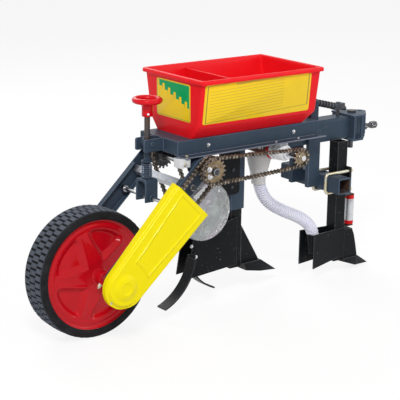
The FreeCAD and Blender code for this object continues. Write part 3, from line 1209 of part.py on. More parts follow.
def build_hitch():
    plate = HITCH_PLATE
    back = block(DRAWBAR_FRONT, DRAWBAR_FRONT + plate, -HITCH_HALF, HITCH_HALF, HITCH_BOTTOM, HITCH_TOP)
    upper = hitch_ear(HITCH_TOP - plate, HITCH_TOP)
    lower = hitch_ear(HITCH_BOTTOM, HITCH_BOTTOM + plate)
    straps = both_sides(block(HITCH_SHOULDER - STRAP_LENGTH, HITCH_SHOULDER, -HITCH_HALF, plate - HITCH_HALF,
                              HITCH_BOTTOM, HITCH_TOP))
    pin = Part.makeCylinder(HITCH_PIN_RADIUS, 200, V(HITCH_PIN_X, 0, HITCH_BOTTOM - 50))
    bore = Part.makeCylinder(DRAW_BORE_RADIUS, 200, V(DRAW_BORE_X, 0, HITCH_BOTTOM - 50))
    bracket = back.fuse([upper, lower] + straps).cut([pin, bore])
    put("hitch_bracket", bracket.removeSplitter())

    low_end = V(HITCH_PIN_X, 0, HITCH_PIN_BOTTOM)
    shaft = Part.makeCylinder(HITCH_PIN_RADIUS, HITCH_TOP - HITCH_PIN_BOTTOM, low_end)
    head = Part.makeCylinder(KING_HEAD_RADIUS, KING_HEAD, V(HITCH_PIN_X, 0, HITCH_TOP))
    put("king_pin", shaft.fuse(head).removeSplitter())

    low = HITCH_BOTTOM + plate + YOKE_CLEAR
    high = HITCH_TOP - plate - YOKE_CLEAR
    knuckle = Part.makeCylinder(KNUCKLE_RADIUS, high - low, V(HITCH_PIN_X, 0, low))
    tongue = block(HITCH_PIN_X, TONGUE_FRONT, -TONGUE_HALF, TONGUE_HALF, low, high)
    yoke = knuckle.fuse(tongue)
    yoke = yoke.cut(Part.makeCylinder(HITCH_PIN_RADIUS + HITCH_PIN_FIT, 200, V(HITCH_PIN_X, 0, low - 50)))
    yoke = yoke.cut(bore)
    put("hitch_yoke", yoke.removeSplitter())

    shank = rod(SET_BOLT_RADIUS, (TONGUE_FRONT, 0, SET_BOLT_Z), (SET_BOLT_TIP, 0, SET_BOLT_Z))
    nut = hexagon_x(TONGUE_FRONT, TONGUE_FRONT + SET_NUT_LENGTH, 0, SET_BOLT_Z, SET_BOLT_HEAD)
    head = hexagon_x(SET_BOLT_TIP - SET_BOLT_HEAD_LENGTH, SET_BOLT_TIP, 0, SET_BOLT_Z, SET_BOLT_HEAD)
    put("set_bolt", shank.fuse([nut, head]).removeSplitter())


# ---- parking -----------------------------------------------------------------------------
def parked_pitch():
    """Nose-down angle, in degrees, at which the fertiliser point rests on the ground."""
    reach = math.hypot(FERT_SHARE_TIP, AXLE_HEIGHT - FERT_SHARE_TIP_Z)
    below = math.atan2(AXLE_HEIGHT - FERT_SHARE_TIP_Z, FERT_SHARE_TIP)
    return math.degrees(math.asin(TYRE_RADIUS / reach) - below)


def park(shapes):
    """Pitch every shape about the axle, then put the origin under the middle of the whole box."""
    pitch = FreeCAD.Rotation(V(0, 1, 0), parked_pitch())
    pivot = V(0, 0, AXLE_HEIGHT)
    turn = FreeCAD.Placement(V(0, 0, 0), pitch, pivot)
    turned = {name: shape.transformed(turn.toMatrix(), True) for name, shape in shapes.items()}
    box = FreeCAD.BoundBox()
    for name, shape in turned.items():
        if name != "fertiliser_hose":
            box.add(shape.optimalBoundingBox(False, False))
    shift = V(-(box.XMin + box.XMax) / 2, -(box.YMin + box.YMax) / 2, -box.ZMin)
    for shape in turned.values():
        shape.translate(shift)
    return turned, turn, shift


def build():
    build_wheel()
    build_arms()
    build_cover()
    build_hopper()
    build_tray()
    build_posts()
    build_depth_screw()
    build_shafts()
    build_meter()
    build_seed_opener()
    build_fertiliser_meter()
    build_hose()
    build_fertiliser_opener()
    build_hitch()
    return park(NODES)


def main():
    os.makedirs("parts", exist_ok=True)
    shapes, _, shift = build()
    for name, shape in shapes.items():
        shape.exportStep("parts/" + name + ".step")
    print("parts", len(shapes), "pitch", round(parked_pitch(), 3), "shift", [round(c, 2) for c in shift])


if __name__ == "__main__":
    main()
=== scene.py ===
import json
import math

import bmesh
import bpy
from bpy.props import FloatProperty, FloatVectorProperty, IntProperty, PointerProperty
from mathutils import Matrix, Vector


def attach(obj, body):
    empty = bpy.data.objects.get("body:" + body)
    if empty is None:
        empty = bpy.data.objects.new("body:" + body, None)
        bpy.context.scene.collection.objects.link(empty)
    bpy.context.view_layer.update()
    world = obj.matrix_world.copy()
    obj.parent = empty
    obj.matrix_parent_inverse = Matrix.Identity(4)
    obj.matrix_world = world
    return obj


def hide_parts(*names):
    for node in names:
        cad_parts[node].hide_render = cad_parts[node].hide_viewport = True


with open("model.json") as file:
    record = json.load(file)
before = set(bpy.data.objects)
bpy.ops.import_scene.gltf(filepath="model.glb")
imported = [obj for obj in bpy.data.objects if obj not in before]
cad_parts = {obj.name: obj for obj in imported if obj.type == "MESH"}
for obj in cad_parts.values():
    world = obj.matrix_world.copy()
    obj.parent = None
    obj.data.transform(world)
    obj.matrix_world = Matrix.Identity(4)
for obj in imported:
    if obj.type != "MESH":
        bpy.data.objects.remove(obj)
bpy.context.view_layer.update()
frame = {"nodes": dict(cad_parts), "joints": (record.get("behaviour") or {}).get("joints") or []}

bl_info = {
    "name": "Row Seeder",
    "version": (1, 0, 0),
    "blender": (4, 5, 0),
    "location": "3D View > Sidebar > Seeder",
    "description": "Builds a single-row seeder with fertiliser feed, piece by piece, on its CAD frame",
    "category": "Object",
}

# The roller chains' pitch, in millimetres.
PITCH_LENGTH = 12.7


# ---- the level machine -------------------------------------------------------------------
def joint(name):
    """One of the machine's joints."""
    return next(j for j in frame["joints"] if j["name"] == name)


# The machine is parked nose down. Pieces are drawn on the level machine, in millimetres from
# the point where the wheel touches the ground: X to the hitch, Y to the left, Z up.
SLIDE = joint("screw_slide")["axis"]
SPIN = Vector(joint("wheel_spin")["pos_m"])
PITCH = math.atan2(SLIDE[0], SLIDE[2])
LEVEL = Matrix.Translation(SPIN) @ Matrix.Rotation(PITCH, 4, "Y") @ Matrix.Translation((0, 0, -SPIN.z))
MM = LEVEL @ Matrix.Scale(0.001, 4)
AXLE = Vector((0, 0, SPIN.z * 1000))


def level(point):
    """A point of the row frame in level millimetres."""
    return MM.inverted() @ Vector(point)


def spans(node):
    """Lowest and highest X, Y and Z of a CAD node, in level millimetres."""
    back = MM.inverted()
    points = [back @ v.co for v in frame["nodes"][node].data.vertices]
    return [(min(p[i] for p in points), max(p[i] for p in points)) for i in range(3)]


def paint(red, green, blue):
    """A paint chart colour, 0 to 255, as linear light."""
    shares = [channel / 255 for channel in (red, green, blue)]
    return tuple(share / 12.92 if share <= 0.04 else ((share + 0.055) / 1.055) ** 2.4 for share in shares)


# ---- node trees --------------------------------------------------------------------------
class Wire:
    """A socket that does arithmetic: each operator adds the Math node for it."""

    def __init__(self, graph, socket):
        self.graph = graph
        self.socket = socket

    def math(self, operation, *others):
        """This value and the others through a Math node."""
        return self.graph.node("ShaderNodeMath", {"operation": operation}, dict(enumerate((self,) + others)))

    def __add__(self, other):
        return self.math("ADD", other)

    def __sub__(self, other):
        return self.math("SUBTRACT", other)

    def __rsub__(self, other):
        return self.graph.node("ShaderNodeMath", {"operation": "SUBTRACT"}, {0: other, 1: self})

    def __mul__(self, other):
        return self.math("MULTIPLY", other)

    def __truediv__(self, other):
        return self.math("DIVIDE", other)

    __radd__ = __add__
    __rmul__ = __mul__

    def ramp(self, low, high):
        """0 at low and 1 at high, smoothly; low may be the larger."""
        settings = {"interpolation_type": "SMOOTHSTEP"}
        first, last = (0, 1) if low < high else (1, 0)
        values = {"Value": self, 1: min(low, high), 2: max(low, high), 3: first, 4: last}
        return self.graph.node("ShaderNodeMapRange", settings, values)


class Graph:
    """One node tree, and the only place where its nodes are added."""

    def __init__(self, tree):
        self.tree = tree

    def node(self, kind, settings=None, values=None, out=0):
        """Adds a node: its settings first, then the values or wires of its sockets."""
        made = self.tree.nodes.new(kind)
        for name, setting in (settings or {}).items():
            setattr(made, name, setting)
        for key, value in (values or {}).items():
            if isinstance(value, Wire):
                self.tree.links.new(value.socket, made.inputs[key])
            elif isinstance(value, (list, tuple)) and value and isinstance(value[0], Wire):
                for part in value:
                    self.tree.links.new(part.socket, made.inputs[key])
            else:
                made.inputs[key].default_value = value
        return Wire(self, made.outputs[out]) if made.outputs else made

    def mix(self, factor, first, second):
        """From the first colour to the second."""
        first, second = ((*c, 1) if isinstance(c, tuple) and len(c) == 3 else c for c in (first, second))
        return self.node("ShaderNodeMix", {"data_type": "RGBA"}, {0: factor, 6: first, 7: second}, 2)

    def place(self, stretch=(1, 1, 1)):
        """Object coordinates in metres, stretched by so much along each axis."""
        spot = self.node("ShaderNodeTexCoord", out="Object")
        if stretch == (1, 1, 1):
            return spot
        return self.node("ShaderNodeMapping", {}, {"Vector": spot, "Scale": stretch})

    def noise(self, scale, detail=2.0, rough=0.5, stretch=(1, 1, 1)):
        """Cloudy noise on object coordinates."""
        values = {"Vector": self.place(stretch), "Scale": scale, "Detail": detail, "Roughness": rough}
        return self.node("ShaderNodeTexNoise", {}, values)

    def split(self, vector):
        """The three parts of a vector, as wires."""
        node = self.node("ShaderNodeSeparateXYZ", {}, {0: vector}).socket.node
        return [Wire(self, socket) for socket in node.outputs]


def material(name):
    """An empty node material and its graph."""
    made = bpy.data.materials.new(name)
    made.use_nodes = True
    made.node_tree.nodes.clear()
    return made, Graph(made.node_tree)


# How strongly paint, plastic and rubber mirror the room, and how deep each surface ripples, in metres.
DULL_SPECULAR = 0.1
PEEL_DEPTH = 0.00025
SKIN_DEPTH = 0.0002
BRUSH_DEPTH = 0.00012
FILM_DEPTH = 0.0001
SPANGLE_DEPTH = 0.00008
TYRE_DEPTH = 0.0004
FLOW_DEPTH = 0.0022


def coated(colour, rough, bump, depth, **constants):
    """Closes a material: colour, roughness and bump may vary, and the rest is set on the shader."""
    graph = colour.graph
    values = {"Base Color": colour, "Roughness": rough}
    values.update({key.replace("_", " "): value for key, value in constants.items()})
    if not constants.get("Metallic") and "Transmission_Weight" not in constants:
        values["Specular IOR Level"] = DULL_SPECULAR
    values["Normal"] = graph.node("ShaderNodeBump", {}, {"Distance": depth, "Strength": 1.0, "Height": bump})
    shader = graph.node("ShaderNodeBsdfPrincipled", {}, values)
    graph.node("ShaderNodeOutputMaterial", {}, {"Surface": shader})


def shade(colour, factor):
    """A colour made darker or lighter."""
    return tuple(min(1.0, c * factor) for c in colour)


def enamel(name, colour, rough=0.35, patch=0.16, peel=0.25, dust=(0.30, 0.29, 0.27), dusty=0.1,
           chips=0.0, under=(0.2, 0.19, 0.18), coat=0.0, grain=420):
    """Paint or moulded plastic: patches, orange peel, settled dust, and chips down to what is under."""
    made, graph = material(name)
    broad = graph.noise(9, 4, 0.6)
    fine = graph.noise(160, 5, 0.65)
    tone = graph.mix(broad, shade(colour, 1 - patch), shade(colour, 1 + patch))
    settled = (fine * broad).ramp(0.20, 0.52) * dusty
    tone = graph.mix(settled, tone, dust)
    roughness = rough + settled * 0.8 + (broad - 0.5) * 0.12
    height = graph.noise(grain, 2) * peel
    if chips:
        wear = 0.05 * chips
        specks = graph.noise(90, 8, 0.8).ramp(0.66 - wear, 0.69 - wear)
        scores = graph.noise(34, 4, 0.7, (1, 1, 14)).ramp(0.70 - wear, 0.73 - wear)
        worn = specks.math("MAXIMUM", scores * 0.7)
        tone = graph.mix(worn, tone, under)
        roughness = roughness + worn * 0.2
        height = height - worn * 0.5
    coated(tone, roughness, height, PEEL_DEPTH, Coat_Weight=coat, Coat_Roughness=0.12)
    return made


RUST = (0.16, 0.07, 0.035)


def metal(name, colour, rough, second=None, brushed=(1, 1, 1), spots=0.0, shine=1.0):
    """Bare or plated metal: clouded colour, fine brushing, and dull spots."""
    made, graph = material(name)
    cloud = graph.noise(38, 4, 0.6)
    tone = graph.mix(cloud.ramp(0.35, 0.65), colour, second or shade(colour, 0.72))
    lines = graph.noise(320, 3, 0.6, brushed)
    roughness = rough + (lines - 0.5) * 0.25 + (cloud - 0.5) * 0.2
    if spots:
        stain = graph.noise(110, 6, 0.7).ramp(0.62 - 0.2 * spots, 0.70)
        tone = graph.mix(stain, tone, RUST)
        roughness = roughness + stain * 0.35
    coated(tone, roughness, lines, BRUSH_DEPTH, Metallic=shine)
    return made


def turned(graph):
    """Distance from the wheel's axis in metres, as a wire."""
    x, _, z = graph.split(graph.place())
    back = x - SPIN.x
    up = z - SPIN.z
    return (back * back + up * up).math("SQRT")


def tyre_rubber(name, tread, wall):
    """Dusty grey tread over a near black side wall that keeps its moulding rings; the grooves between the
    blocks are near black too, as painted shade.
    """
    made, graph = material(name)
    reach = turned(graph)
    fine = graph.noise(240, 6, 0.7)
    broad = graph.noise(30, 4, 0.6)
    # Near black below the blocks' upper sides, as on the side wall: painted shade on the groove floors and
    # down the blocks.
    worn = reach.ramp(0.1802, 0.1832) * (0.62 + broad * 0.7)
    top = graph.mix(fine.ramp(0.3, 0.7), shade(tread, 0.75), shade(tread, 1.3))
    side = graph.mix((fine * broad).ramp(0.2, 0.45), wall, shade(wall, 2.2))
    tone = graph.mix(worn.math("MINIMUM", 1.0), side, top)
    rings = (reach * 2600).math("SINE") * 0.25
    coated(tone, 0.62 + fine * 0.25, fine * 0.6 + rings, TYRE_DEPTH)
    return made


def wheel_enamel(name, colour):
    """Glossy red enamel with fine grey dust that lies low on the dish and round the hub."""
    made, graph = material(name)
    reach = turned(graph)
    broad = graph.noise(11, 5, 0.6)
    fine = graph.noise(230, 6, 0.7)
    tone = graph.mix(broad, shade(colour, 0.82), shade(colour, 1.2))
    film = (broad * fine).ramp(0.26, 0.50) * 0.05 + reach.ramp(0.055, 0.03) * 0.04
    tone = graph.mix(film, tone, (0.40, 0.05, 0.06))
    specks = graph.noise(150, 8, 0.8).ramp(0.735, 0.75) * 0.6
    tone = graph.mix(specks, tone, (0.05, 0.03, 0.03))
    coated(tone, 0.22 + film * 0.9, graph.noise(300, 2) * 0.3, SKIN_DEPTH, Coat_Weight=0.25,
           Coat_Roughness=0.05)
    return made


def zinc_plate(name, warm, cool):
    """Yellow zinc: patches that run from straw to pink and green."""
    made, graph = material(name)
    cloud = graph.noise(70, 4, 0.6)
    tone = graph.mix(cloud.ramp(0.35, 0.6), warm, cool)
    tone = graph.mix(graph.noise(130, 3).ramp(0.52, 0.66) * 0.5, tone, (0.55, 0.38, 0.34))
    coated(tone, 0.28 + cloud * 0.25, graph.noise(500, 2), FILM_DEPTH, Metallic=0.85)
    return made


def galvanised(name, colour):
    """Galvanised steel with its crystal spangle."""
    made, graph = material(name)
    flake = graph.node("ShaderNodeTexVoronoi", {}, {"Vector": graph.place(), "Scale": 240}, "Color")
    glint = graph.split(flake)[0]
    tone = graph.mix(glint, shade(colour, 0.7), shade(colour, 1.15))
    tone = graph.mix(graph.noise(60, 5, 0.7).ramp(0.55, 0.75) * 0.5, tone, (0.16, 0.15, 0.14))
    coated(tone, 0.32 + glint * 0.22, glint, SPANGLE_DEPTH, Metallic=0.9)
    return made


def clear_plastic(name, tint):
    """Clear moulded plastic, rippled, with painted reflection in darker and faint pink patches, and pale
    streaks of painted highlight.
    """
    made, graph = material(name)
    cloud = graph.noise(15, 2, 0.5)
    ripple = graph.noise(19, 1, 0.4, (1, 1, 0.7))
    # Thin pale streaks where the ripple crosses its middle: painted highlight.
    painted_highlight = (ripple - 0.5).math("ABSOLUTE").ramp(0.022, 0.0)
    # Darker cloudy patches and faint pink patches: painted reflection.
    tone = graph.mix(cloud.ramp(0.44, 0.56), tint, shade(tint, 0.72))
    tone = graph.mix(graph.noise(9, 2).ramp(0.50, 0.62) * 0.6, tone, (0.92, 0.80, 0.93))
    tone = graph.mix(painted_highlight * 0.9, tone, (1.0, 1.0, 1.0))
    coated(tone, 0.07 + painted_highlight * 0.4, ripple + cloud, FLOW_DEPTH, Transmission_Weight=0.8, IOR=1.46,
           Coat_Weight=1.0, Coat_Roughness=0.04)
    return made


def milky_plastic(name, colour, rough, through):
    """Thin translucent moulding."""
    made, graph = material(name)
    cloud = graph.noise(18, 5, 0.6)
    tone = graph.mix(cloud, shade(colour, 0.86), shade(colour, 1.06))
    tone = graph.mix(graph.noise(70, 6, 0.75).ramp(0.58, 0.78) * 0.3, tone, (0.33, 0.30, 0.26))
    coated(tone, rough + (cloud - 0.5) * 0.2, graph.noise(200, 3), SKIN_DEPTH,
           Transmission_Weight=through, IOR=1.4)
    return made


def hose_plastic(name, colour):
    """Pale hose wall, with painted shade in the grooves between its ribs."""
    made, graph = material(name)
    groove = graph.node("ShaderNodeAttribute", {"attribute_name": "groove"}, out="Fac")
    cloud = graph.noise(30, 4)
    tone = graph.mix(cloud, shade(colour, 1.02), shade(colour, 1.14))
    # Darker towards the bottom of each groove: painted shade.
    tone = graph.mix(groove.ramp(0.3, 1.0) * 0.4, tone, shade(colour, 0.52))
    coated(tone, 0.32 + cloud * 0.1, graph.noise(300, 2), FILM_DEPTH)
    return made


def window(place, low, high, soft):
    """1 between low and high, 0 outside, with an edge as wide as soft."""
    return place.ramp(low, low + soft) * place.ramp(high, high - soft)


def printed_sheet(name, ground, second, rows=0):
    """A printed film on its own UV map: a keyline round ruled rows, or round a stepped band."""
    made, graph = material(name)
    across, up, _ = graph.split(graph.node("ShaderNodeUVMap", {"uv_map": "sheet"}))
    tone = graph.mix(graph.noise(14, 3), shade(ground, 0.93), shade(ground, 1.07))
    edge = (across * (1 - across)).math("MINIMUM", up * (1 - up) * 0.8)
    if rows:
        rule = (up * rows).math("PINGPONG", 0.5).ramp(0.36, 0.44)
        field = up.ramp(0.08, 0.09) * up.ramp(0.86, 0.85) * window(across, 0.05, 0.74, 0.005)
        tone = graph.mix(rule * field * 0.4, tone, second)
        title = window(up, 0.885, 0.95, 0.005) * window(across, 0.28, 0.72, 0.003)
        tone = graph.mix(title * 0.5, tone, second)
    else:
        stair = ((across * 6).math("FLOOR") / 6) * 0.52 + 0.14
        bars = (across * 12 + 0.5).math("PINGPONG", 1.0).ramp(0.56, 0.62)
        line = 1 - (stair + 0.06 - bars * 0.17)
        band = (up - line).ramp(-0.006, 0.006) * edge.ramp(0.028, 0.032)
        tone = graph.mix(band, tone, second)
    tone = graph.mix((edge.ramp(0.018, 0.021) * edge.ramp(0.030, 0.027)) * 0.8, tone, shade(second, 0.8))
    coated(tone, 0.34 + graph.noise(60, 4) * 0.12, graph.noise(90, 2) * 0.2, SKIN_DEPTH, Coat_Weight=0.25)
    return made


# ---- pieces ------------------------------------------------------------------------------
def linked(name, data):
    """A new object in the scene."""
    host = bpy.data.objects.new(name, data)
    bpy.context.scene.collection.objects.link(host)
    return host


def piece(name, mesh, body, materials, replaces=(), sharp=35):
    """Puts a finished mesh, drawn in row frame metres, on its body."""
    made = linked(name, mesh)
    if [held and held.name for held in mesh.materials] != [finish.name for finish in materials]:
        mesh.materials.clear()
        for finish in materials:
            mesh.materials.append(finish)
    if sharp:
        mesh.shade_smooth()
        mesh.set_sharp_from_angle(angle=math.radians(sharp))
    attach(made, body)
    if replaces:
        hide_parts(*replaces)
    return made


def evaluated(host):
    """The host with its modifiers as a plain mesh; the host is then removed."""
    mesh = bpy.data.meshes.new_from_object(host.evaluated_get(bpy.context.evaluated_depsgraph_get()))
    bpy.data.objects.remove(host)
    return mesh


def rounded(mesh, width, angle):
    """Rounds the edges of a mesh that are sharper than angle. The new strips get its second material."""
    host = linked("rounding", mesh)
    bevel = host.modifiers.new("edges", "BEVEL")
    bevel.width = width / 1000
    bevel.segments = 2
    bevel.angle_limit = math.radians(angle)
    bevel.use_clamp_overlap = False
    bevel.material = 1
    bevel.miter_outer = "MITER_ARC"
    normals = host.modifiers.new("normals", "WEIGHTED_NORMAL")
    normals.keep_sharp = True
    return evaluated(host)


def merged(node):
    """A copy of a CAD node with its loose triangles joined into flat faces."""
    bm = bmesh.new()
    bm.from_mesh(frame["nodes"][node].data)
    bmesh.ops.remove_doubles(bm, verts=bm.verts, dist=1e-5)
    bmesh.ops.dissolve_degenerate(bm, edges=bm.edges, dist=1e-6)
    bmesh.ops.dissolve_limit(bm, angle_limit=math.radians(0.6), verts=bm.verts, edges=bm.edges)
    for face in bm.faces:
        face.material_index = 0
        face.smooth = True
    for edge in bm.edges:
        edge.smooth = True
    mesh = bpy.data.meshes.new("merged")
    bm.to_mesh(mesh)
    bm.free()
    if "custom_normal" in mesh.attributes:
        mesh.attributes.remove(mesh.attributes["custom_normal"])
    return mesh


def softened(node, body, materials, width=0.8, angle=30, pick=None):
    """A CAD node with rounded edges. From a face's middle, on the level machine, pick gives its material."""
    mesh = merged(node)
    for finish in materials:
        mesh.materials.append(finish)
    if pick:
        back = MM.inverted()
        for polygon in mesh.polygons:
            polygon.material_index = pick(back @ polygon.center)
    return piece(node + "_piece", rounded(mesh, width, angle), body, materials, [node], 0)


# For each axis: across, up and along it.
AXES = {"Y": ((0, 0, 1), (1, 0, 0), (0, 1, 0)), "Z": ((1, 0, 0), (0, 1, 0), (0, 0, 1))}


class Sketch:
    """A mesh drawn in level millimetres."""

    def __init__(self):
        self.bm = bmesh.new()

    def loft(self, rings, caps=True, closed=True):
        """Skins equal rings of points one to the next."""
        rows = [[self.bm.verts.new(p) for p in ring] for ring in rings]
        for low, high in zip(rows, rows[1:]):
            for i in range(len(low) if closed else len(low) - 1):
                j = (i + 1) % len(low)
                self.bm.faces.new((low[i], low[j], high[j], high[i]))
        if caps:
            self.bm.faces.new(rows[0][::-1])
            self.bm.faces.new(rows[-1])
        return self

    def lathe(self, profile, centre, axis="Y", steps=48):
        """Turns a profile of (radius, distance along the axis) about a line through centre."""
        across, up, along = (Vector(v) for v in AXES[axis])
        centre = Vector(centre)
        turns = [math.tau * k / steps for k in range(steps)]
        rings = [[centre + across * radius * math.cos(a) + up * radius * math.sin(a) + along * place
                  for a in turns] for radius, place in profile]
        return self.loft(rings, False)

    def block(self, centre, size, turn=None):
        """A box about its centre, turned if need be."""
        half = Vector(size) / 2
        turn = turn or Matrix.Identity(3)
        corners = [(-1, -1), (1, -1), (1, 1), (-1, 1)]
        rings = [[Vector(centre) + turn @ Vector((x * half.x, y * half.y, z * half.z)) for x, y in corners]
                 for z in (-1, 1)]
        return self.loft(rings)

    def mesh(self):
        """Closes the sketch: seams joined, faces outwards, in the row frame."""
        bmesh.ops.remove_doubles(self.bm, verts=self.bm.verts, dist=0.005)
        bmesh.ops.dissolve_degenerate(self.bm, edges=self.bm.edges, dist=0.001)
        bmesh.ops.recalc_face_normals(self.bm, faces=self.bm.faces)
        made = bpy.data.meshes.new("sketch")
        self.bm.to_mesh(made)
        self.bm.free()
        made.transform(MM)
        return made

    def done(self, name, body, materials, replaces=(), slot=None, edge=0, sharp=35):
        """Makes the sketch a piece, with its edges rounded if an edge width is given."""
        mesh = self.mesh()
        if edge:
            for finish in materials:
                mesh.materials.append(finish)
            mesh.shade_smooth()
            mesh = rounded(mesh, edge, 30)
        return piece(name, mesh, body, materials, replaces, 0 if edge else sharp)


# ---- geometry trees ----------------------------------------------------------------------
def tree(name, sizes):
    """A geometry tree with named inputs. Returns its graph, the host geometry and the size wires."""
    group = bpy.data.node_groups.new(name, "GeometryNodeTree")
    group.interface.new_socket("Geometry", in_out="INPUT", socket_type="NodeSocketGeometry")
    for size, value in sizes.items():
        kind = "NodeSocketInt" if isinstance(value, int) else "NodeSocketFloat"
        socket = group.interface.new_socket(size, in_out="INPUT", socket_type=kind)
        socket.default_value = value
    group.interface.new_socket("Geometry", in_out="OUTPUT", socket_type="NodeSocketGeometry")
    graph = Graph(group)
    sockets = graph.node("NodeGroupInput").socket.node.outputs
    wires = {socket.name: Wire(graph, socket) for socket in sockets if socket.name}
    return graph, wires.pop("Geometry"), wires


def closed(graph, geometry, finish):
    """Ends a tree: real geometry, one material."""
    real = graph.node("GeometryNodeRealizeInstances", {}, {0: geometry})
    shaded = graph.node("GeometryNodeSetMaterial", {}, {"Geometry": real, "Material": finish})
    graph.node("NodeGroupOutput", {}, {0: shaded})
    return graph.tree


def moved(graph, geometry, place=(0, 0, 0), turn=(0, 0, 0), scale=(1, 1, 1)):
    """A shape that is moved, turned and scaled."""
    values = {0: geometry, "Translation": place, "Rotation": turn, "Scale": scale}
    return graph.node("GeometryNodeTransform", {}, values)


def vector(graph, x=0.0, y=0.0, z=0.0):
    """Three numbers or wires as one vector."""
    return graph.node("ShaderNodeCombineXYZ", {}, {0: x, 1: y, 2: z})


def drum(graph, sides, radius, depth):
    """A closed drum that stands along Z."""
    return graph.node("GeometryNodeMeshCylinder", {}, {"Vertices": sides, "Radius": radius, "Depth": depth})


def joined(graph, *parts):
    """Several shapes as one."""
    return graph.node("GeometryNodeJoinGeometry", {}, {0: list(parts)})


def stored(graph, name):
    """A vector that each point carries."""
    return graph.node("GeometryNodeInputNamedAttribute", {"data_type": "FLOAT_VECTOR"}, {0: name})


def spread(graph, points, shape, turn, **more):
    """The shape on each point, turned so."""
    values = {"Points": points, "Instance": shape, "Rotation": turn, **more}
    return graph.node("GeometryNodeInstanceOnPoints", {}, values)


def placed(graph, points, shape, twist=None):
    """The shape on each point, its Z along the point's facing, and its X along twist if that is stored."""
    align = "FunctionNodeAlignRotationToVector"
    turn = graph.node(align, {"axis": "Z"}, {"Vector": stored(graph, "facing")})
    if twist:
        values = {"Rotation": turn, "Vector": stored(graph, twist)}
        turn = graph.node(align, {"axis": "X", "pivot_axis": "Z"}, values)
    return spread(graph, points, shape, turn)


def set_sizes(modifier, sizes):
    """Sets a tree's named inputs by their identifiers."""
    for item in modifier.node_group.interface.items_tree:
        if item.item_type == "SOCKET" and item.in_out == "INPUT" and item.name in sizes:
            modifier[item.identifier] = sizes[item.name]


def grown(name, group, points, body, sizes=None, facing=None, along=None, replaces=(), sharp=40):
    """Runs a geometry tree on a host of points in level millimetres, and keeps the plain result."""
    host_mesh = bpy.data.meshes.new(name)
    host_mesh.from_pydata([tuple(p) for p in points], [], [])
    for label, values in (("facing", facing), ("along", along)):
        if values is not None:
            attribute = host_mesh.attributes.new(label, "FLOAT_VECTOR", "POINT")
            values = values if isinstance(values, list) else [values] * len(points)
            attribute.data.foreach_set("vector", [c for v in values for c in v])
    host = linked(name + "_host", host_mesh)
    modifier = host.modifiers.new("tree", "NODES")
    modifier.node_group = group
    set_sizes(modifier, sizes or {})
    mesh = evaluated(host)
    mesh.transform(MM)
    shown = [finish for finish in mesh.materials if finish]
    mesh.polygons.foreach_set("material_index", [0] * len(mesh.polygons))
    return piece(name, mesh, body, shown[:1], replaces, sharp)


def fastener_tree(finish):
    """A hexagon head with its chamfer, on a washer, with a thread end that may show beyond it."""
    graph, points, size = tree("fastener", {"Across": 4.0, "Head": 3.0, "Washer": 6.5, "Shim": 1.0,
                                            "Tail": 0.0, "Sides": 6})
    across, tall, shim, tail = size["Across"], size["Head"], size["Shim"], size["Tail"]

    def raised(shape, height):
        """A shape lifted along the fastener."""
        return moved(graph, shape, vector(graph, 0.0, 0.0, height))

    chamfer = {"Vertices": 14, "Radius Top": across * 0.62, "Radius Bottom": across * 0.93,
               "Depth": tall * 0.28}
    parts = (raised(drum(graph, size["Sides"], across, tall), tall / 2 + shim),
             raised(graph.node("GeometryNodeMeshCone", {}, chamfer), tall + shim - 0.01),
             raised(drum(graph, 20, size["Washer"], shim + 0.3), shim / 2),
             raised(drum(graph, 12, across * 0.5, tail + 0.2), shim + tall + tail / 2))
    return closed(graph, placed(graph, points, joined(graph, *parts)), finish)


def chain_tree(finish, rollers):
    """Roller chain on a row of points: pins and rollers, or waisted plates, inner and outer in turn."""
    graph, points, size = tree("chain_rollers" if rollers else "chain_plates", {
        "Pitch": PITCH_LENGTH, "Plate height": 11.2, "Waist": 6.0, "Inside": 6.2, "Plate": 1.1,
        "Roller": 4.0, "Pin": 2.1})
    pitch, plate, inside = size["Pitch"], size["Plate"], size["Inside"]
    turn = graph.node("FunctionNodeAlignRotationToVector", {"axis": "X", "pivot_axis": "Y"},
                      {"Vector": stored(graph, "along")})

    def across(radius, sides, depth):
        """A round bar that lies across the chain."""
        return moved(graph, drum(graph, sides, radius, depth), (0, 0, 0), (math.pi / 2, 0, 0))

    if rollers:
        pin = across(size["Pin"], 8, (inside / 2 + plate * 2) * 2 + 1.4)
        roller = across(size["Roller"], 10, inside)
        return closed(graph, spread(graph, points, joined(graph, pin, roller), turn), finish)

    def plates(offset):
        """A pair of plates, each so far from the chain's middle."""
        eyes = [moved(graph, across(size["Plate height"] / 2, 10, plate), vector(graph, end, 0.0, 0.0))
                for end in (0.0, pitch)]
        bar = graph.node("GeometryNodeMeshCube", {}, {"Size": vector(graph, pitch, plate, size["Waist"])})
        link = joined(graph, *eyes, moved(graph, bar, vector(graph, pitch * 0.5, 0.0, 0.0)))
        sides = [moved(graph, link, vector(graph, 0.0, side * offset, 0.0)) for side in (-1, 1)]
        return joined(graph, *sides)

    odd = graph.node("GeometryNodeInputIndex").math("MODULO", 2.0)
    inner = spread(graph, points, plates(inside / 2 + plate * 0.5), turn, Selection=odd)
    outer = spread(graph, points, plates(inside / 2 + plate * 1.6), turn, Selection=1 - odd)
    return closed(graph, joined(graph, inner, outer), finish)


def piped(graph, curve, sides, radius, **more):
    """A curve given a round wall, with its ends closed."""
    section = graph.node("GeometryNodeCurvePrimitiveCircle", {}, {"Resolution": sides, "Radius": radius})
    values = {"Curve": curve, "Profile Curve": section, "Fill Caps": True, **more}
    return graph.node("GeometryNodeCurveToMesh", {}, values)


def coil_tree(finish):
    """A helix of round wire that stands on each point along its facing."""
    graph, points, size = tree("coil", {"Radius": 13.0, "Wire": 2.5, "Turns": 8.0, "Height": 45.0,
                                        "Steps": 24, "Sides": 8})
    values = {"Resolution": size["Steps"], "Rotations": size["Turns"], "Start Radius": size["Radius"],
              "End Radius": size["Radius"], "Height": size["Height"]}
    helix = graph.node("GeometryNodeCurveSpiral", {}, values)
    return closed(graph, placed(graph, points, piped(graph, helix, size["Sides"], size["Wire"])), finish)


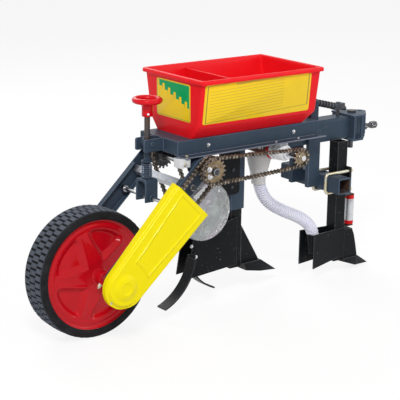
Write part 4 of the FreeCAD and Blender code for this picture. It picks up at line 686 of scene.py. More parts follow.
def block_tree(finish):
    """Moulded blocks, narrower at the top, that stand on each point."""
    graph, points, size = tree("tread_block", {"Length": 14.0, "Width": 24.0, "Height": 5.0, "Taper": 0.82})
    foot = math.sqrt(0.5)
    values = {"Vertices": 4, "Radius Top": size["Taper"] * foot, "Radius Bottom": foot, "Depth": 1.0}
    square = moved(graph, graph.node("GeometryNodeMeshCone", {}, values), (0, 0, 0), (0, 0, math.pi / 4))
    block = moved(graph, square, scale=vector(graph, size["Length"], size["Width"], size["Height"]))
    return closed(graph, placed(graph, points, block, "along"), finish)


def ridge_tree(finish):
    """A rounded collar on each point of a rod."""
    graph, points, size = tree("rod_rib", {"Radius": 8.0, "Depth": 2.6})
    band = drum(graph, 20, size["Radius"], size["Depth"] * 0.5)
    skirt = drum(graph, 20, size["Radius"] * 0.93, size["Depth"])
    return closed(graph, placed(graph, points, joined(graph, band, skirt)), finish)


def bead_tree(finish):
    """A weld laid in overlapping ripples, one flattened bead on each point."""
    graph, points, size = tree("weld", {"Width": 3.0, "Ripple": 2.2})
    ball = graph.node("GeometryNodeMeshIcoSphere", {}, {"Radius": 1.0, "Subdivisions": 2})
    ripple = moved(graph, ball, scale=vector(graph, size["Ripple"], size["Width"], size["Width"] * 0.6))
    return closed(graph, placed(graph, points, ripple, "along"), finish)


# Rings of the hose's wall in each of its ribs.
RIB_STEPS = 6


def hose_tree(finish):
    """A corrugated hose along a curve in metres, marked with how deep in a groove each ring lies."""
    graph, curve, size = tree("ribbed_hose", {"Radius": 0.0195, "Rib pitch": 0.0070, "Rib depth": 0.09})
    step = size["Rib pitch"] / RIB_STEPS
    fine = graph.node("GeometryNodeResampleCurve", {"mode": "LENGTH"}, {"Curve": curve, "Length": step})
    wave = (graph.node("GeometryNodeInputIndex") * (math.tau / RIB_STEPS)).math("COSINE")
    swell = (1 - size["Rib depth"]) + wave * size["Rib depth"]
    # The hose's material paints shade from this groove mark.
    marks = {"Geometry": fine, "Name": "groove", "Value": 0.5 - wave * 0.5}
    marked = graph.node("GeometryNodeStoreNamedAttribute", {}, marks)
    return closed(graph, piped(graph, marked, 40, size["Radius"], Scale=swell), finish)


def ring_of(centre, radius, count, first=0.0):
    """Points round a circle that faces sideways, with the way each faces outwards."""
    turns = [math.radians(first) + math.tau * k / count for k in range(count)]
    ways = [Vector((math.cos(a), 0, math.sin(a))) for a in turns]
    return [Vector(centre) + way * radius for way in ways], ways


def bounded(value):
    """A value kept between 0 and 1."""
    return min(1.0, max(0.0, value))


def eased(value, low, high):
    """A smooth climb from 0 at low to 1 at high."""
    share = bounded((value - low) / (high - low))
    return share * share * (3 - 2 * share)


def swell(distance, width):
    """The section of a rounded bead: 1 at its middle, and near 0 two widths off."""
    return math.exp(-(distance / width) ** 2)


def tangents(ways):
    """The way round a circle at each of its outward ways."""
    return [Vector((-way.z, 0, way.x)) for way in ways]


# ---- sizes and colours -------------------------------------------------------------------
def colour_of(label, text, *chart):
    """A colour that a user may change, with its default from the paint chart."""
    return FloatVectorProperty(name=label, description=text, default=paint(*chart), subtype="COLOR",
                               min=0, max=1)


def length_of(label, text, value, low, high):
    """A length that a user may change, in metres."""
    return FloatProperty(name=label, description=text, default=value, min=low, max=high, unit="LENGTH",
                         precision=4)


class SeederColours(bpy.types.PropertyGroup):
    """Paint and plastic colours."""
    hopper: colour_of("Hopper", "Moulded plastic of the hopper", 240, 24, 34)
    wheel: colour_of("Wheel disc", "Enamel of the pressed wheel disc", 196, 8, 26)
    handwheel: colour_of("Handwheel", "Moulding of the depth handwheel", 222, 16, 30)
    cover: colour_of("Chain cover", "Plastic of the chain cover", 246, 228, 6)
    frame: colour_of("Frame", "Powder coat of the frame and arms", 58, 72, 88)
    opener: colour_of("Openers", "Black paint of the openers", 20, 22, 25)
    tread: colour_of("Tread", "Dusty rubber of the tread", 88, 93, 103)
    wall: colour_of("Side wall", "Rubber of the tyre's side wall", 32, 32, 34)
    panel: colour_of("Panel", "Ground colour of the hopper's panels", 246, 208, 30)
    band: colour_of("Panel band", "Stepped band on the end panel", 0, 160, 92)
    hose: colour_of("Hose", "Plastic of the ribbed hose", 232, 232, 250)


class SeederSizes(bpy.types.PropertyGroup):
    """Sizes of the shaped pieces."""
    rib_pitch: length_of("Hose rib pitch", "From one hose rib to the next", 0.0070, 0.003, 0.02)
    tread_height: length_of("Tread height", "Height of a tread block", 0.006, 0.001, 0.006)
    dish_press: length_of("Pocket depth", "How far the disc's pockets are pressed in", 0.014, 0.0, 0.015)
    cover_ridge: length_of("Cover ridge", "Height of the ridge round the cover's panel", 0.0035, 0.0, 0.004)
    frame_edge: length_of("Frame edge", "Rounding along the frame's edges", 0.0011, 0.0001, 0.003)
    sheet_edge: length_of("Plate edge", "Rounding along thin plates", 0.0010, 0.0001, 0.002)
    tread_blocks: IntProperty(name="Tread blocks", description="Blocks in one row round the tyre", default=58,
                              min=12, max=90)
    spring_turns: FloatProperty(name="Spring turns", description="Turns of the screw's spring", default=8.0,
                                min=3, max=14)


FINISH = {}


class SEEDER_OT_finishes(bpy.types.Operator):
    """Make every paint, plastic, rubber and metal of the machine"""
    bl_idname = "seeder.finishes"
    bl_label = "Finishes"

    def execute(self, context):
        c = context.scene.seeder_colours
        worn = (0.28, 0.27, 0.30)
        FINISH.update({
            "hopper": enamel("hopper_plastic", tuple(c.hopper), 0.30, 0.06, 0.3, (0.72, 0.10, 0.10), 0.08,
                             coat=0.06),
            "wheel": wheel_enamel("wheel_enamel", tuple(c.wheel)),
            "knob": enamel("handwheel_moulding", tuple(c.handwheel), 0.22, 0.06, 0.25, (0.5, 0.1, 0.1), 0.06,
                           coat=0.2),
            "cover": enamel("cover_plastic", tuple(c.cover), 0.26, 0.025, 0.18, (0.70, 0.58, 0.06), 0.05,
                            coat=0.06),
            "frame": enamel("frame_powder_coat", tuple(c.frame), 0.40, 0.14, 0.5, (0.17, 0.17, 0.18), 0.10,
                            0.12, coat=0.04, grain=620),
            # The frame's rounded edges: lighter than the coat as a painted highlight, with chipped wear.
            "frame_edge": enamel("frame_rim_painted_highlight_and_wear", shade(c.frame, 2.1), 0.36, 0.3, 0.4, worn, 0.4, 0.6,
                                 (0.36, 0.34, 0.38)),
            # The rails' rounded edges: a pale painted highlight, with some dust.
            "rail_painted_highlight": enamel("rail_rim_painted_highlight", (0.30, 0.32, 0.38), 0.36, 0.3, 0.4, worn, 0.3),
            "rust": enamel("rusty_bore", (0.075, 0.045, 0.035), 0.8, 0.4, 1.0, (0.16, 0.06, 0.025), 0.7, 0.8,
                           (0.03, 0.02, 0.018)),
            "opener": enamel("opener_paint", tuple(c.opener), 0.34, 0.35, 0.7, (0.08, 0.076, 0.072), 0.07,
                             0.5, (0.24, 0.24, 0.25)),
            "opener_edge": enamel("opener_worn_edge", (0.07, 0.07, 0.074), 0.4, 0.5, 0.6, (0.2, 0.19, 0.18),
                                  0.3, 1.3, (0.42, 0.41, 0.40)),
            "tyre": tyre_rubber("tyre_rubber", tuple(c.tread), tuple(c.wall)),
            "hose": hose_plastic("hose_wall", tuple(c.hose)),
            "white": enamel("white_moulding", (0.88, 0.89, 0.92), 0.36, 0.05, 0.3, (0.45, 0.41, 0.36), 0.10),
            "cup": milky_plastic("cup_moulding", (0.90, 0.89, 0.88), 0.30, 0.45),
            "clear": clear_plastic("clear_dome", (0.95, 1.0, 0.99)),
            "brown": enamel("brown_moulding", (0.15, 0.06, 0.04), 0.5, 0.3, 0.5, (0.25, 0.17, 0.13), 0.3),
            "mint": enamel("seed_ring", (0.42, 0.52, 0.50), 0.42, 0.25, 0.3, (0.5, 0.38, 0.42), 0.35),
            "seal": enamel("red_seal", (0.66, 0.02, 0.03), 0.4, 0.1, 0.3),
            "bright": metal("bright_steel", (0.72, 0.72, 0.74), 0.24, brushed=(1, 9, 1), spots=0.1),
            "zinc": zinc_plate("yellow_zinc", (0.72, 0.60, 0.36), (0.62, 0.62, 0.50)),
            "sprocket": metal("sprocket_steel", (0.33, 0.25, 0.14), 0.42, (0.17, 0.13, 0.09), spots=0.5),
            "chain": metal("chain_steel", (0.20, 0.165, 0.13), 0.36, (0.07, 0.055, 0.045), spots=0.45,
                           shine=0.8),
            "chain_pin": metal("chain_pins", (0.52, 0.48, 0.42), 0.3, (0.26, 0.22, 0.18), spots=0.35),
            "dark": metal("dark_steel", (0.10, 0.105, 0.115), 0.42, (0.05, 0.052, 0.06), spots=0.3,
                          shine=0.7),
            "bar": galvanised("galvanised_bar", (0.50, 0.52, 0.56)),
            "roller": metal("roller_tube", (0.66, 0.68, 0.70), 0.52, (0.56, 0.56, 0.58), (1, 1, 12), 0.05,
                            shine=0.7),
            "cap": enamel("roller_cap", (0.70, 0.012, 0.015), 0.3, 0.1, 0.3, (0.4, 0.2, 0.2), 0.15),
            "thread": metal("blackened_thread", (0.075, 0.08, 0.09), 0.4, (0.11, 0.075, 0.05), spots=0.5,
                            shine=0.75),
            # The spring's paint is lighter than the frame's: painted highlight on its wire.
            "spring": enamel("spring_wire_painted_highlight", shade(c.frame, 2.2), 0.30, 0.2, 0.4, (0.2, 0.2, 0.2), 0.2, 0.3),
            "end_sheet": printed_sheet("end_panel_film", tuple(c.panel), tuple(c.band)),
            "side_sheet": printed_sheet("side_panel_film", tuple(c.panel), (0.30, 0.19, 0.06), 13),
        })
        return {"FINISHED"}


def finishes(*names):
    """Finishes by their names, the body's first."""
    return [FINISH[name] for name in names]


def framework(node, body, width):
    """A CAD node in the frame's powder coat, with chipped wear and a painted highlight along its edges."""
    softened(node, body, finishes("frame", "frame_edge"), width)


def moulding(node, width):
    """A CAD node of white plastic on the frame."""
    softened(node, "frame", finishes("white", "white"), width)


# ---- camera and hose ---------------------------------------------------------------------
# The camera's turn, rise and roll, its place on the level machine in metres, and its lens.
VIEW_TURN = math.radians(37.99)
VIEW_RISE = math.radians(15.22)
VIEW_ROLL = math.radians(-0.94)
VIEW_PLACE = (-1.9987, -3.0610, 1.3880)
VIEW_LENS = 123.098


class SEEDER_OT_camera(bpy.types.Operator):
    """Stand the camera at the rear right of the machine"""
    bl_idname = "seeder.camera"
    bl_label = "Camera"

    def execute(self, context):
        back = Vector((-math.sin(VIEW_TURN) * math.cos(VIEW_RISE), -math.cos(VIEW_TURN) * math.cos(VIEW_RISE),
                       math.sin(VIEW_RISE)))
        right = Vector((math.cos(VIEW_TURN), -math.sin(VIEW_TURN), 0))
        up = back.cross(right)
        across = right * math.cos(VIEW_ROLL) - up * math.sin(VIEW_ROLL)
        upright = right * math.sin(VIEW_ROLL) + up * math.cos(VIEW_ROLL)
        data = bpy.data.cameras.new("view")
        data.lens = VIEW_LENS
        data.sensor_width = 36
        data.clip_end = 60
        camera = linked("view", data)
        turn = Matrix((across, upright, back)).transposed().to_4x4()
        camera.matrix_world = LEVEL @ Matrix.Translation(VIEW_PLACE) @ turn
        context.scene.camera = camera
        return {"FINISHED"}


# The hose hangs from the fertiliser cup's spout and slips into the funnel behind the shank.
HOSE_ROUTE = ((0.615, 0, 0.366), (0.622, 0, 0.330), (0.646, -0.008, 0.288), (0.692, -0.021, 0.258),
              (0.742, -0.035, 0.235), (0.770, -0.0435, 0.218), (0.789, -0.0495, 0.198),
              (0.798, -0.0523, 0.178), (0.800, -0.053, 0.160))
HOSE_RADIUS = 0.0195


class SEEDER_OT_hose(bpy.types.Operator):
    """Hang the ribbed fertiliser hose"""
    bl_idname = "seeder.hose"
    bl_label = "Fertiliser hose"

    def execute(self, context):
        curve = bpy.data.curves.new("hose_line", "CURVE")
        curve.dimensions = "3D"
        curve.resolution_u = 24
        spline = curve.splines.new("NURBS")
        spline.points.add(len(HOSE_ROUTE) - 1)
        for point, place in zip(spline.points, HOSE_ROUTE):
            point.co = (*(LEVEL @ Vector(place)), 1)
        spline.order_u = 3
        spline.use_endpoint_u = True
        host = linked("hose_line", curve)
        line = bpy.data.meshes.new_from_object(host.evaluated_get(context.evaluated_depsgraph_get()))
        modifier = host.modifiers.new("ribs", "NODES")
        modifier.node_group = hose_tree(FINISH["hose"])
        set_sizes(modifier, {"Radius": HOSE_RADIUS, "Rib pitch": context.scene.seeder_sizes.rib_pitch})
        hose = piece("ribbed_hose", evaluated(host), "frame", finishes("hose"), ["fertiliser_hose"],
                     75)
        return {"FINISHED"}


# ---- ground wheel ------------------------------------------------------------------------
# Half of the tyre's outline: radius, and how far in from the tyre's side.
SIDE_WALL = ((161.2, 6), (161.2, 4.3), (158.2, 4.2), (158.0, 3.0), (161.0, 1.6), (165.2, 0.9), (166.6, 0.2),
             (168.6, 0.2), (170.0, 0.9), (174.5, 0.4), (179.0, 1.4), (181.4, 4.2), (181.6, 8.0), (179.6, 9.5),
             (179.4, 22))
# Each row of blocks: its side, how far it is set round in blocks, and a block's width.
TREAD_ROWS = ((-1, 0.0, 26.0), (0, 0.5, 27.0), (1, 0.0, 26.0))
# How far the outer rows lie from the middle one, how much they lean and drop, and how deep all sit.
ROW_REACH = 27.0
ROW_LEAN = 0.06
SHOULDER_DROP = 1.1
BLOCK_SEAT = 0.4
# How much of its pitch a block fills, and how much of its foot its top keeps.
BLOCK_SHARE = 0.80
BLOCK_TAPER = 0.80


class SEEDER_OT_tyre(bpy.types.Operator):
    """Make the tyre's carcass and its rows of tread blocks"""
    bl_idname = "seeder.tyre"
    bl_label = "Tyre"

    def execute(self, context):
        sizes = context.scene.seeder_sizes
        half = (spans("tyre")[1][1] - spans("tyre")[1][0]) / 2
        outer = AXLE.z
        side = [(radius, half - inset) for radius, inset in SIDE_WALL]
        profile = [(r, -y) for r, y in side] + [(r, y) for r, y in reversed(side)]
        Sketch().lathe(profile + profile[:1], AXLE, steps=144).done(
            "tyre_carcass", "ground_wheel", finishes("tyre"), ["tyre"], "tyre_rubber", sharp=50)
        tall = sizes.tread_height * 1000
        count = sizes.tread_blocks
        group = block_tree(FINISH["tyre"])
        for number, (hand, stagger, width) in enumerate(TREAD_ROWS):
            seat = outer - tall - BLOCK_SEAT - SHOULDER_DROP * abs(hand)
            places, ways = ring_of(AXLE, seat, count, 360 * stagger / count)
            tilted = [(w + Vector((0, hand * ROW_LEAN, 0))).normalized() for w in ways]
            places = [p + Vector((0, hand * ROW_REACH, 0)) for p in places]
            values = {"Length": math.tau * outer / count * BLOCK_SHARE, "Width": width, "Height": tall,
                      "Taper": BLOCK_TAPER}
            grown("tread_row_%d" % (number + 1), group, places, "ground_wheel", values, tilted,
                  tangents(ways), sharp=25)
        return {"FINISHED"}


# The pressed disc: how far its flat, its flare by the rim and its hub stand out, the radii that the flat
# lies between, the arms' half width, taper and reach, and the pockets' outer end and corners.
DISC_FLAT = 33.0
RIM_FLARE = 5.5
HUB_RISE = 22
FLAT_INNER = 140
FLAT_OUTER = 150
ARM_HALF = 16
ARM_TAPER = 0.158
ARM_REACH = 124
POCKET_END = 134
POCKET_CORNER = 26
# How thick the disc is, its steps round, and the radii of its rings.
DISC_THICKNESS = 2.4
DISC_STEPS = 320
DISC_REACHES = [13, 18, 24] + [30 + 2.4 * k for k in range(51)] + [152, 155, 157.5]
# The turn from one arm to the next, and the first arm's.
ARM_SPREAD = math.radians(72)
ARM_FIRST = math.radians(109)
# How far the rim's flare runs outwards, and the hub's slope inwards.
FLARE_RUN = 8
HUB_RUN = 92
# How far inside the arm's edge a pocket's wall starts, how wide it is, and from which radius its corners
# are rounded.
POCKET_EDGE = 6
POCKET_SLOPE = 17.0
CORNER_START = 90
# The ring bead on the flat, and the bead along an arm's edge with the radii between which it comes and goes.
RING_REACH = 139
RING_WIDTH = 4.5
RING_RISE = 2.4
EDGE_BEAD = 5.0
EDGE_BEAD_RISE = 1.6
EDGE_BEAD_START = (30, 60)
EDGE_BEAD_STOP = (112, POCKET_END)


def dish(reach, angle, press):
    """How far out the pressed disc stands at a place: a dish with five arms, pockets and a ring bead."""
    if reach > FLAT_OUTER:
        height = DISC_FLAT + RIM_FLARE * bounded((reach - FLAT_OUTER) / FLARE_RUN) ** 2
    else:
        height = DISC_FLAT + HUB_RISE * bounded((FLAT_INNER - reach) / HUB_RUN)
    height += RING_RISE * swell(reach - RING_REACH, RING_WIDTH)
    off = (angle - ARM_FIRST + ARM_SPREAD / 2) % ARM_SPREAD - ARM_SPREAD / 2
    aside = reach * abs(math.sin(off)) - (ARM_HALF + ARM_TAPER * (ARM_REACH - reach * math.cos(off)))
    corner = POCKET_CORNER - math.hypot(max(0.0, POCKET_CORNER - (aside + POCKET_EDGE)),
                                        max(0.0, POCKET_CORNER - (POCKET_END - reach)))
    if reach > CORNER_START:
        inside = eased(corner, 0.0, POCKET_SLOPE)
    else:
        inside = eased(aside, -POCKET_EDGE, POCKET_SLOPE - POCKET_EDGE)
    bead = swell(aside + EDGE_BEAD, EDGE_BEAD) * eased(reach, *EDGE_BEAD_START)
    bead *= 1 - eased(reach, *EDGE_BEAD_STOP)
    return height - press * inside + EDGE_BEAD_RISE * bead


class SEEDER_OT_wheel_disc(bpy.types.Operator):
    """Press the two wheel discs and join them with the rim"""
    bl_idname = "seeder.wheel_disc"
    bl_label = "Wheel disc"

    def execute(self, context):
        press = context.scene.seeder_sizes.dish_press * 1000
        turns = [math.tau * k / DISC_STEPS for k in range(DISC_STEPS)]
        walls = [(reach, 0) for reach in DISC_REACHES]
        walls += [(reach, DISC_THICKNESS) for reach in reversed(DISC_REACHES)]
        sketch = Sketch()
        for side in (-1, 1):
            rings = [[AXLE + Vector((reach * math.cos(a), side * (dish(reach, a, press) - sink),
                                     reach * math.sin(a))) for a in turns] for reach, sink in walls]
            sketch.loft(rings + rings[:1], False)
        rim = [(157.4, 39.2), (158.6, 40), (160.2, 39.6), (160.6, 38.5), (160.6, 36), (156.5, 34),
               (156.5, 32)]
        band = [(r, -y) for r, y in rim] + [(r, y) for r, y in reversed(rim)]
        sketch.lathe(band + band[:1], AXLE, steps=130)
        sketch.done("pressed_disc", "ground_wheel", finishes("wheel"), ["wheel_disc"], "wheel_red", sharp=40)
        return {"FINISHED"}


# Where the hub's welds lie, how many beads each has, and which way the set bolt looks.
WELD_FACE = 59.6
WELD_REACH = 20.6
BEADS = 26
SET_BOLT_TURN = math.radians(234)


class SEEDER_OT_wheel_hub(bpy.types.Operator):
    """Turn the axle and its welded hubs"""
    bl_idname = "seeder.wheel_hub"
    bl_label = "Wheel hub"

    def execute(self, context):
        low, high = spans("wheel_axle")[1]
        axle = [(0, low), (8.6, low), (10, low + 1.4), (10, high - 1.4), (8.6, high), (0, high)]
        Sketch().lathe(axle, AXLE, steps=40).done("axle_bar", "ground_wheel", finishes("bright"),
                                                  ["wheel_axle"], "bright_steel")
        profile = [(10.2, 55), (26.5, 55), (27, 56), (27, 57.6), (25.6, 58.8), (19.6, 60), (19, 62),
                   (19, 83.6), (17.8, 85), (10.2, 85), (10.2, 55)]
        hub = Sketch()
        for side in (-1, 1):
            hub.lathe([(r, side * y) for r, y in profile], AXLE)
        hub.done("wheel_hub", "ground_wheel", finishes("wheel"), slot="wheel_red")
        beads = bead_tree(FINISH["wheel"])
        for side, name in ((-1, "hub_weld_right"), (1, "hub_weld_left")):
            places, ways = ring_of(AXLE + Vector((0, side * WELD_FACE, 0)), WELD_REACH, BEADS)
            grown(name, beads, places, "ground_wheel", {"Width": 2.6, "Ripple": 2.9}, Vector((0, side, 0)),
                  tangents(ways), sharp=80)
        way = Vector((math.cos(SET_BOLT_TURN), 0, math.sin(SET_BOLT_TURN)))
        sizes = {"Across": 5.4, "Head": 6.0, "Washer": 6.8, "Shim": 3.0, "Tail": 5.0}
        grown("hub_set_bolt", fastener_tree(FINISH["zinc"]), [AXLE + way * 18.5 + Vector((0, -76, 0))],
              "ground_wheel", sizes, [way])
        return {"FINISHED"}


# ---- chain drive -------------------------------------------------------------------------
# The three shafts' places on the level machine.
MIDDLE = level(joint("middle_turn")["pos_m"])
FRONT = level(joint("front_turn")["pos_m"])
METER = level(joint("meter_turn")["pos_m"])


def spoke(turn):
    """A way of length 1 in the sprockets' plane."""
    return Vector((math.cos(turn), math.sin(turn)))


def belt(first, second, first_teeth, second_teeth, y, links, sag):
    """Pin places round two sprockets, link by link, with the way to the next pin."""
    start, end = Vector((first.x, first.z)), Vector((second.x, second.z))
    first_radius, second_radius = (PITCH_LENGTH / (2 * math.sin(math.pi / teeth))
                                   for teeth in (first_teeth, second_teeth))
    gap = (end - start).length
    base = math.atan2(end.y - start.y, end.x - start.x)
    lean = math.acos((first_radius - second_radius) / gap)
    run = math.sqrt(gap ** 2 - (first_radius - second_radius) ** 2) / PITCH_LENGTH
    second_wrap = second_teeth * 2 * lean / math.tau
    first_wrap = first_teeth * 2 * (math.pi - lean) / math.tau
    total = run * 2 + second_wrap + first_wrap
    upper, lower = spoke(base + lean), spoke(base - lean)
    points = []
    for k in range(links):
        u = total * k / links
        if u < run:
            place = (start + upper * first_radius).lerp(end + upper * second_radius, u / run)
        elif u < run + second_wrap:
            place = end + spoke(base + lean - (u - run) / second_wrap * 2 * lean) * second_radius
        elif u < total - first_wrap:
            share = (u - run - second_wrap) / run
            place = (end + lower * second_radius).lerp(start + lower * first_radius, share)
            place.y -= sag * 4 * share * (1 - share)
        else:
            left = (u - total + first_wrap) / first_wrap
            place = start + spoke(base - lean - left * 2 * (math.pi - lean)) * first_radius
        points.append(Vector((place.x, y, place.y)))
    ways = [(points[(k + 1) % links] - p).normalized() for k, p in enumerate(points)]
    return points, ways


class SEEDER_OT_chains(bpy.types.Operator):
    """Run the three roller chains link by link"""
    bl_idname = "seeder.chains"
    bl_label = "Roller chains"

    def execute(self, context):
        plates, rollers = chain_tree(FINISH["chain"], False), chain_tree(FINISH["chain_pin"], True)
        # Name, body, the two shafts, their teeth, links, and sag of the lower run.
        for name, body, ends, teeth, links, sag in (
                ("wheel_chain", "wheel_arms", (AXLE, MIDDLE), (16, 18), 82, 0.0),
                ("front_chain", "frame", (MIDDLE, FRONT), (18, 12), 66, 2.0),
                ("meter_chain", "frame", (MIDDLE, METER), (18, 18), 44, 0.0)):
            low, high = spans(name)[1]
            points, ways = belt(*ends, *teeth, (low + high) / 2, links, sag)
            grown(name + "_plates", plates, points, body, along=ways, replaces=[name])
            grown(name + "_rollers", rollers, points, body, along=ways)
        return {"FINISHED"}


# The right end of the middle shaft is dark from here on.
SHAFT_END = -183


class SEEDER_OT_shafts(bpy.types.Operator):
    """Finish the shafts, sprockets and shaft hangers"""
    bl_idname = "seeder.shafts"
    bl_label = "Shafts and sprockets"

    def execute(self, context):
        # The sprockets' rounded edges are bright steel: painted glints on their teeth.
        for node, body in (("wheel_sprocket", "ground_wheel"), ("middle_sprockets", "middle_axle"),
                           ("front_sprocket", "front_axle"), ("meter_sprocket", "meter_rotor")):
            softened(node, body, finishes("sprocket", "bright", "dark"), 0.35, 40,
                     lambda p: 2 if p.y > 0 else 0)
        softened("middle_shaft", "middle_axle", finishes("bright", "bright", "dark"), 0.8, 40,
                 lambda p: 2 if p.y < SHAFT_END else 0)
        softened("front_shaft", "front_axle", finishes("bright", "bright"), 0.8, 40)
        framework("shaft_hangers", "frame", 0.7)
        return {"FINISHED"}


# ---- chain cover -------------------------------------------------------------------------
# The cover's rise, length, lower head's radius, half width at the upper head, and faces.
COVER_TURN = math.radians(46.4)
COVER_LONG = 309.0
COVER_ROUND = 61.0
COVER_LOW = 90.0
COVER_FACE = -184.0
COVER_BACK = -161
COVER_WALL = 0.0018
# Steps along each straight run, round the lower head, and from the edge to the middle.
RUN_STEPS = 104
HEAD_STEPS = 48
FACE_STEPS = 44
# How deep the stepped edge is, and the depths at which the side wall turns into the face.
EDGE_STEP = 8.6
EDGE_SINKS = (9.0, 5.0, 2.2, 1.0)
# How round the face's edge is, where its step climbs, and the turn over which the step fades out.
EDGE_ROUND = 3.0
EDGE_CLIMB = (7.0, 12.0)
EDGE_FADE = 0.7
# The boss: its radius, how wide its slope is, how far it stands out and how full its slope is.
BOSS_REACH = 39
BOSS_SLOPE = 19
BOSS_RISE = 6.0
BOSS_FULLNESS = 1.3
# The boss's ring, and the sunk middle inside it: radius, width, and height or depth.
RING_ROUND = (18.5, 1.8, 1.1)
BOSS_MIDDLE = (17, 3, 1.4)
# The raised panel's corners, the reach of its round end and its ridge's width.
PANEL_CORNERS = ((298, 27), (72, 22.6), (64, -37.6), (298, -68))
PANEL_REACH = 74
RIDGE_WIDTH = 2.1
# The middles of the two dimples, their width and their height.
DIMPLES = ((90, -9), (267, -19))
DIMPLE_WIDTH = 4.5
DIMPLE_RISE = 1.1
# Where the lugs start along the cover, how long they are and how thick their sheet is.
LUG_STARTS = (70.0, 235.0)
LUG_LONG = 30
LUG_SHEET = 2.2


def cover_point(along, aside, y):
    """A point from its place along the cover and aside from its middle line."""
    return Vector((along * math.cos(COVER_TURN) - aside * math.sin(COVER_TURN), y,
                   AXLE.z + along * math.sin(COVER_TURN) + aside * math.cos(COVER_TURN)))


def cover_line(share):
    """A line like the cover's outline, drawn in to a share of its width."""
    lean = math.atan2(COVER_LOW, COVER_LONG) + math.acos(COVER_ROUND / math.hypot(COVER_LOW, COVER_LONG))
    last = math.tau - lean
    round_off = COVER_ROUND * share
    points = [(COVER_LONG * (1 - k / RUN_STEPS), round_off, 1.0) for k in range(RUN_STEPS)]
    for k in range(HEAD_STEPS + 1):
        a = math.pi / 2 + (last - math.pi / 2) * k / HEAD_STEPS
        fade = bounded((last - a) / EDGE_FADE)
        points.append((round_off * math.cos(a), round_off * math.sin(a), fade))
    along, aside = COVER_ROUND * math.cos(lean), -COVER_ROUND * math.sin(lean)
    for k in range(1, RUN_STEPS + 1):
        points.append((along * share + (COVER_LONG - along * share) * k / RUN_STEPS,
                       (aside + (-COVER_LOW - aside) * k / RUN_STEPS) * share, 0.0))
    return points


def run_to(point, start, end):
    """Distance from a point to a straight run, on the cover's face."""
    point, start, end = Vector(point), Vector(start), Vector(end)
    share = bounded((point - start).dot(end - start) / (end - start).length_squared)
    return (point - start.lerp(end, share)).length


def cover_height(along, aside, ridge):
    """How far the cover's face stands out: a domed boss, a ridge round a panel and two small dimples."""
    reach = math.hypot(along, aside)
    rise = bounded((BOSS_REACH - reach) / BOSS_SLOPE)
    height = BOSS_RISE * math.sin(rise * math.pi / 2) ** BOSS_FULLNESS
    ring, ring_width, ring_rise = RING_ROUND
    middle, slope, depth = BOSS_MIDDLE
    height += ring_rise * swell(reach - ring, ring_width) - depth * bounded((middle - reach) / slope)
    upper, upper_end, lower_end, lower = PANEL_CORNERS
    near = min(run_to((along, aside), upper, upper_end), run_to((along, aside), lower_end, lower),
               run_to((along, aside), lower, upper))
    if lower_end[1] < aside < upper_end[1]:
        near = min(near, abs(reach - PANEL_REACH))
    height += ridge * swell(near, RIDGE_WIDTH)
    for spot in DIMPLES:
        height += DIMPLE_RISE * swell(math.hypot(along - spot[0], aside - spot[1]), DIMPLE_WIDTH)
    return height


class SEEDER_OT_chain_cover(bpy.types.Operator):
    """Mould the chain cover with its stepped edge, panel ridge and domed boss"""
    bl_idname = "seeder.chain_cover"
    bl_label = "Chain cover"

    def execute(self, context):
        ridge = context.scene.seeder_sizes.cover_ridge * 1000
        outline = cover_line(1.0)
        rings = [[cover_point(s, t, COVER_BACK) for s, t, _ in outline]]
        rings += [[cover_point(s, t, COVER_FACE + max(sink, 9.5 * fade)) for s, t, fade in outline]
                  for sink in EDGE_SINKS]
        for number in range(1, FACE_STEPS + 1):
            share = 1 - number / FACE_STEPS
            inward = (1 - share) * COVER_ROUND
            climb = eased(inward, *EDGE_CLIMB)
            edge = 1.0 - math.sqrt(max(0.0, 1 - (1 - bounded(inward / EDGE_ROUND)) ** 2))
            rings.append([cover_point(s, t, COVER_FACE - cover_height(s, t, ridge)
                                      + max(EDGE_STEP * fade * (1 - climb), edge))
                          for s, t, fade in cover_line(share)])
        mesh = Sketch().loft(rings, False, closed=False).mesh()
        host = linked("cover_skin", mesh)
        mesh.shade_smooth()
        wall = host.modifiers.new("wall", "SOLIDIFY")
        wall.thickness = COVER_WALL
        facing_right = sum(p.normal.y * p.area for p in mesh.polygons) < 0
        wall.offset = -1 if facing_right else 1
        piece("cover_moulding", evaluated(host), "wheel_arms", finishes("cover"), ["chain_cover"],
              45)
        lugs = Sketch()
        turn = Matrix.Rotation(-COVER_TURN, 3, "Y")
        for start in LUG_STARTS:
            low = -COVER_ROUND - (COVER_LOW - COVER_ROUND) * start / COVER_LONG + 3
            for aside, y, size in ((low, -155.5, (LUG_LONG, 18.5, LUG_SHEET)),
                                   ((low - 12) / 2, -147.2, (LUG_LONG, LUG_SHEET, -low - 12)),
                                   (-13, -137.5, (LUG_LONG, 20.5, LUG_SHEET))):
                lugs.block(cover_point(start + LUG_LONG / 2, aside, y), size, turn)
        lugs.done("cover_lugs", "wheel_arms", finishes("cover", "cover"), slot="cover_yellow", edge=0.5)
        grown("cover_screw", fastener_tree(FINISH["bright"]), [(-42, -175.4, AXLE.z - 36)], "wheel_arms",
              {"Across": 2.2, "Head": 1.6, "Washer": 3.4, "Shim": 0.6, "Sides": 12}, Vector((0, -1, 0)))
        return {"FINISHED"}


# ---- arms, frame and hopper --------------------------------------------------------------
class SEEDER_OT_arms(bpy.types.Operator):
    """Finish the wheel arms and their galvanised cross bars"""
    bl_idname = "seeder.arms"
    bl_label = "Wheel arms"

    def execute(self, context):
        edge = context.scene.seeder_sizes.frame_edge * 1000
        for node in ("right_arm", "left_arm"):
            framework(node, "wheel_arms", edge)
        # The bars above this height are galvanised, and the rod below it is bright.
        height = sum(spans("arm_cross_bars")[2]) / 2 - 12
        softened("arm_cross_bars", "wheel_arms", finishes("bar", "bar", "bright"), 0.8,
                 pick=lambda p: 0 if p.z > height else 2)
        return {"FINISHED"}


